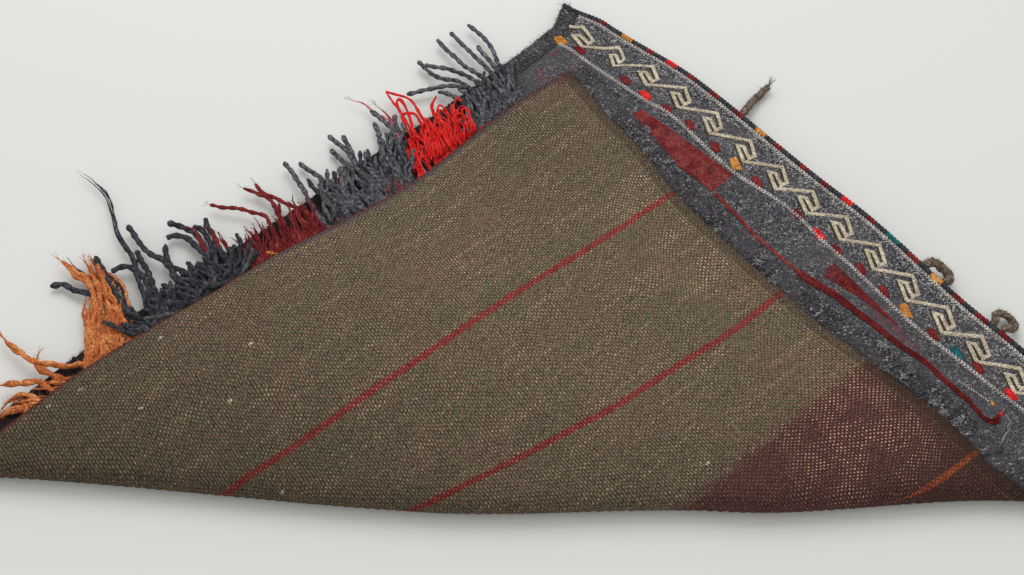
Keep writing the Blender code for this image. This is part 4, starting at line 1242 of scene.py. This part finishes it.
THICK = 0.0023
navy_tuft = Tuft(102)
roll = navy_tuft.chance
for places in navy_strands:
    navy_tuft.strand(navy_tuft.route(places, roll.uniform(0.003, 0.008), THICK, 0.0012), THICK)
long_strand = ((0.337, 0), (0.334, 0.022), (0.330, 0.035), (0.325, 0.052), (0.320, 0.066), (0.319, 0.079),
               (0.317, 0.092), (0.312, 0.107), (0.307, 0.124), (0.308, 0.140), (0.312, 0.157))
navy_tuft.strand(navy_tuft.route(long_strand[:7], 0.006, 0.0018, 0.001), 0.0019, blunt=0)
for number in range(9):
    shift = roll.uniform(-0.0012, 0.0012)
    places = tuple((along + shift * min(1.0, out / 0.05) * (1.0 + out * 4), out)
                   for along, out in long_strand)
    reach = len(places) - roll.choice((0, 0, 1, 2, 3))
    navy_tuft.strand(navy_tuft.route(places[:reach], 0.004, 0.0006, 0.0014), 0.00072, plies=1, sides=5,
                     blunt=0, fibres=14, colour=(number % 3 == 0) * 2, taper=0.5)
navy_tuft.fill((0.268, 0.346), 130, (0.010, 0.034), 0.0019, sway=0.005, rise=0.008, spread=0.020,
               colours=(0, 0, 1, 4))
for places in (((0.285, 0), (0.277, 0.051), (0.276, 0.057), (0.280, 0.064)),
               ((0.276, 0), (0.270, 0.042), (0.268, 0.050), (0.271, 0.056)),
               ((0.272, 0), (0.267, 0.034), (0.267, 0.039), (0.265, 0.046)),
               ((0.334, 0), (0.333, 0.006), (0.334, 0.010), (0.335, 0.013))):
    for _ in range(3):
        moved = tuple((along + roll.uniform(-0.001, 0.001), out) for along, out in places)
        navy_tuft.strand(navy_tuft.route(moved, 0.010, 0.0009, 0.0015), 0.0009, blunt=0, fibres=16, colour=3)
navy_fringe = navy_tuft.finish("navy_tuft", [navy, dark_slate, grey_hair, dark_red, mid_slate], "navy_wool",
                                "tassel_navy")

red_tuft = Tuft(103)
roll = red_tuft.chance
for places in dark_red_strands:
    line = red_tuft.route(places, 0.006, 0.0016, 0.0014)
    red_tuft.strand(line, 0.0017, lobe=0.2, blunt=0.9, fibres=46)
    red_tuft.frayed(line, 0.0003, 3, 0.5, 0.007)
red_tuft.fill((0.209, 0.264), 110, (0.012, 0.040), 0.0012, lean=-0.25, sway=0.003, spread=0.008, blunt=0,
              fibres=22, colours=(0, 0, 0, 1))
red_tuft.fill((0.238, 0.243), 3, (0.010, 0.020), 0.0013, colours=(2,), fibres=10)
red_fringe = red_tuft.finish("dark_red_tuft", [dark_red, block_red, orange], "madder_wool",
                             "tassel_dark_red")

slate_tuft = Tuft(104)
roll = slate_tuft.chance
for places in slate_strands:
    slate_tuft.strand(slate_tuft.route(places, roll.uniform(0.004, 0.007), 0.0020, 0.0010), 0.0021)
slate_tuft.fill((0.138, 0.205), 84, (0.010, 0.044), 0.0018, lean=-0.3, sway=0.004, rise=0.006, spread=0.014,
                colours=(0, 0, 1, 4))
slate_tuft.fill((0.186, 0.205), 10, (0.012, 0.034), 0.0012, lean=-0.3, sway=0.002, rise=0.006, blunt=0,
                colours=(2,))
slate_tuft.fill((0.146, 0.160), 26, (0.002, 0.007), 0.0011, lean=0.0, sway=0.001, rise=0.008, spread=0.004,
                blunt=0, fibres=14, colours=(3,))
slate_fringe = slate_tuft.finish("slate_tuft", [slate, dark_slate, dark_red, block_red, mid_slate],
                                 "navy_wool", "tassel_slate")

pink = wool("pink_wool", (212, 96, 104), (236, 150, 150))
scarlet_tuft = Tuft(105)
roll = scarlet_tuft.chance
for places in scarlet_strands:
    for _ in range(2):
        moved = tuple((along + roll.uniform(-0.0008, 0.0008), out) for along, out in places)
        line = scarlet_tuft.route(moved, 0.007, 0.0010, 0.0012)
        scarlet_tuft.strand(line, 0.00088, sides=6, blunt=0.9, fibres=6)
stray_strands = (
    (1, ((0.126, 0), (0.120, 0.043), (0.116, 0.052), (0.120, 0.067), (0.121, 0.079), (0.125, 0.087))),
    (2, ((0.122, 0), (0.116, 0.045), (0.115, 0.052), (0.114, 0.063), (0.115, 0.072))))
for colour, places in stray_strands:
    line = scarlet_tuft.route(places, 0.006, 0.0009, 0.0006)
    scarlet_tuft.strand(line, 0.0010, blunt=0, fibres=12, colour=colour)
    scarlet_tuft.frayed(line, 0.0003, 4, 0.4, 0.008, colour)
for _ in range(58):
    along = roll.uniform(0.080, 0.133)
    reach = roll.uniform(0.012, 0.038)
    back = min(along + roll.uniform(-0.013, 0.013), 0.132)
    lean = -0.35 * reach
    places = ((along, 0.0), (along + lean * 0.6 + roll.uniform(-0.002, 0.002), reach * 0.6),
              ((along + back) / 2 + lean, reach), (back + lean * 0.7, reach * 0.6), (back, 0.003))
    line = scarlet_tuft.route(places, 0.012 + roll.uniform(-0.003, 0.003), 0.0009, 0.0032, step=0.0014)
    scarlet_tuft.strand(line, 0.00088, sides=6, blunt=0.9, fibres=4)
scarlet_fringe = scarlet_tuft.finish("scarlet_tuft", [scarlet, pink, block_red], "scarlet_wool",
                                     "tassel_scarlet")

corner_tuft = Tuft(106)
roll = corner_tuft.chance
for places in corner_strands:
    corner_tuft.strand(corner_tuft.route(places, 0.006, 0.0019, 0.0010), 0.0019)
corner_tuft.fill((0.036, 0.078), 80, (0.012, 0.044), 0.0017, lean=-0.35, sway=0.003, rise=0.005, spread=0.014,
                 colours=(0, 0, 1, 2))
corner_fringe = corner_tuft.finish("corner_tuft", [slate, dark_slate, mid_slate], "navy_wool",
                                   "tassel_navy_corner")

# The closing loops
# Short braids of coarse brown-grey goat hair, worked into the mouth cord: one straight end and
# two round loops, all fuzzy.
hair = wool("goat_hair", (106, 90, 76), (172, 155, 136), depth=0.0006, scale=1200.0, patches=400.0)
braids = (
    ("straight_braid", "closing_loop_left", 0.0036,
     ((0.165, 0.0010, 0), (0.1645, 0.004, 0.001), (0.163, 0.008, 0.003), (0.1602, 0.020, 0.008),
      (0.1592, 0.037, 0.009))),
    ("middle_loop", "closing_loop_middle", 0.0041,
     ((0.336, 0.0012, 0), (0.3365, 0.005, 0), (0.3415, 0.0082, 0.001), (0.3475, 0.0088, 0.002),
      (0.3525, 0.0068, 0.001), (0.3535, 0.0040, 0), (0.3530, 0.0012, 0))),
    ("right_loop", "closing_loop_right", 0.0032,
     ((0.3945, 0.0012, 0), (0.3932, 0.0045, 0), (0.3908, 0.0092, 0.002), (0.3930, 0.0138, 0.004),
      (0.3985, 0.0156, 0.006), (0.4040, 0.0126, 0.004), (0.4046, 0.0078, 0.002), (0.4018, 0.0040, 0),
      (0.4012, 0.0012, 0))))
loops = []
for name, node, radius, route in braids:
    spots = []
    for across, out, drop in route:
        spot = folded(across, BAG_HEIGHT + out, MIDDLE, True)
        spot.z = max(spot.z - drop, radius * 1.2)
        spots.append(spot)
    braid = Tuft(200 + len(loops))
    line = curve_through(spots, 0.0011)
    braid.strand(line, radius * 0.8, plies=3, pitch=0.0075, sides=12, blunt=0.9, fibres=0)
    for ply in range(3):
        turns = [1.1 * number + math.tau * ply / 3 for number in range(len(line))]
        weave = [spot + Vector((math.sin(turn), math.cos(turn), math.sin(2 * turn) * 0.6)) * radius * 0.45
                 for spot, turn in zip(line, turns)]
        braid.strand(weave, radius * 0.5, plies=2, sides=6, blunt=0.9, fibres=300)
    if len(route) == 5:
        braid.frayed(line, 0.0003, 16, 0.7, 0.005)
    loops.append(braid.finish(name, [hair], "goat_hair", node))

# Loose hairs at the mouth's upper corner
# Worn grey fibres stand off where the left binding, the mouth cord and the face end. They are
# part of the wool there and are held by it.
wisps = Yarns(300)
roll = wisps.chance
corner_spot = folded(0.004, BAG_HEIGHT - 0.003, STACK, True)
for _ in range(34):
    way = Vector((roll.uniform(-0.9, 0.3), roll.uniform(0.2, 1.0), roll.uniform(0, 0.5)))
    root = corner_spot + Vector((roll.uniform(-0.004, 0.004), roll.uniform(-0.003, 0.004), -0.001))
    wisps.fibre(root, way.normalized(), roll.uniform(0.004, 0.010), 0.00018)
corner_wisps = wisps.finish("corner_wisps", [grey_hair], "binding_wool")
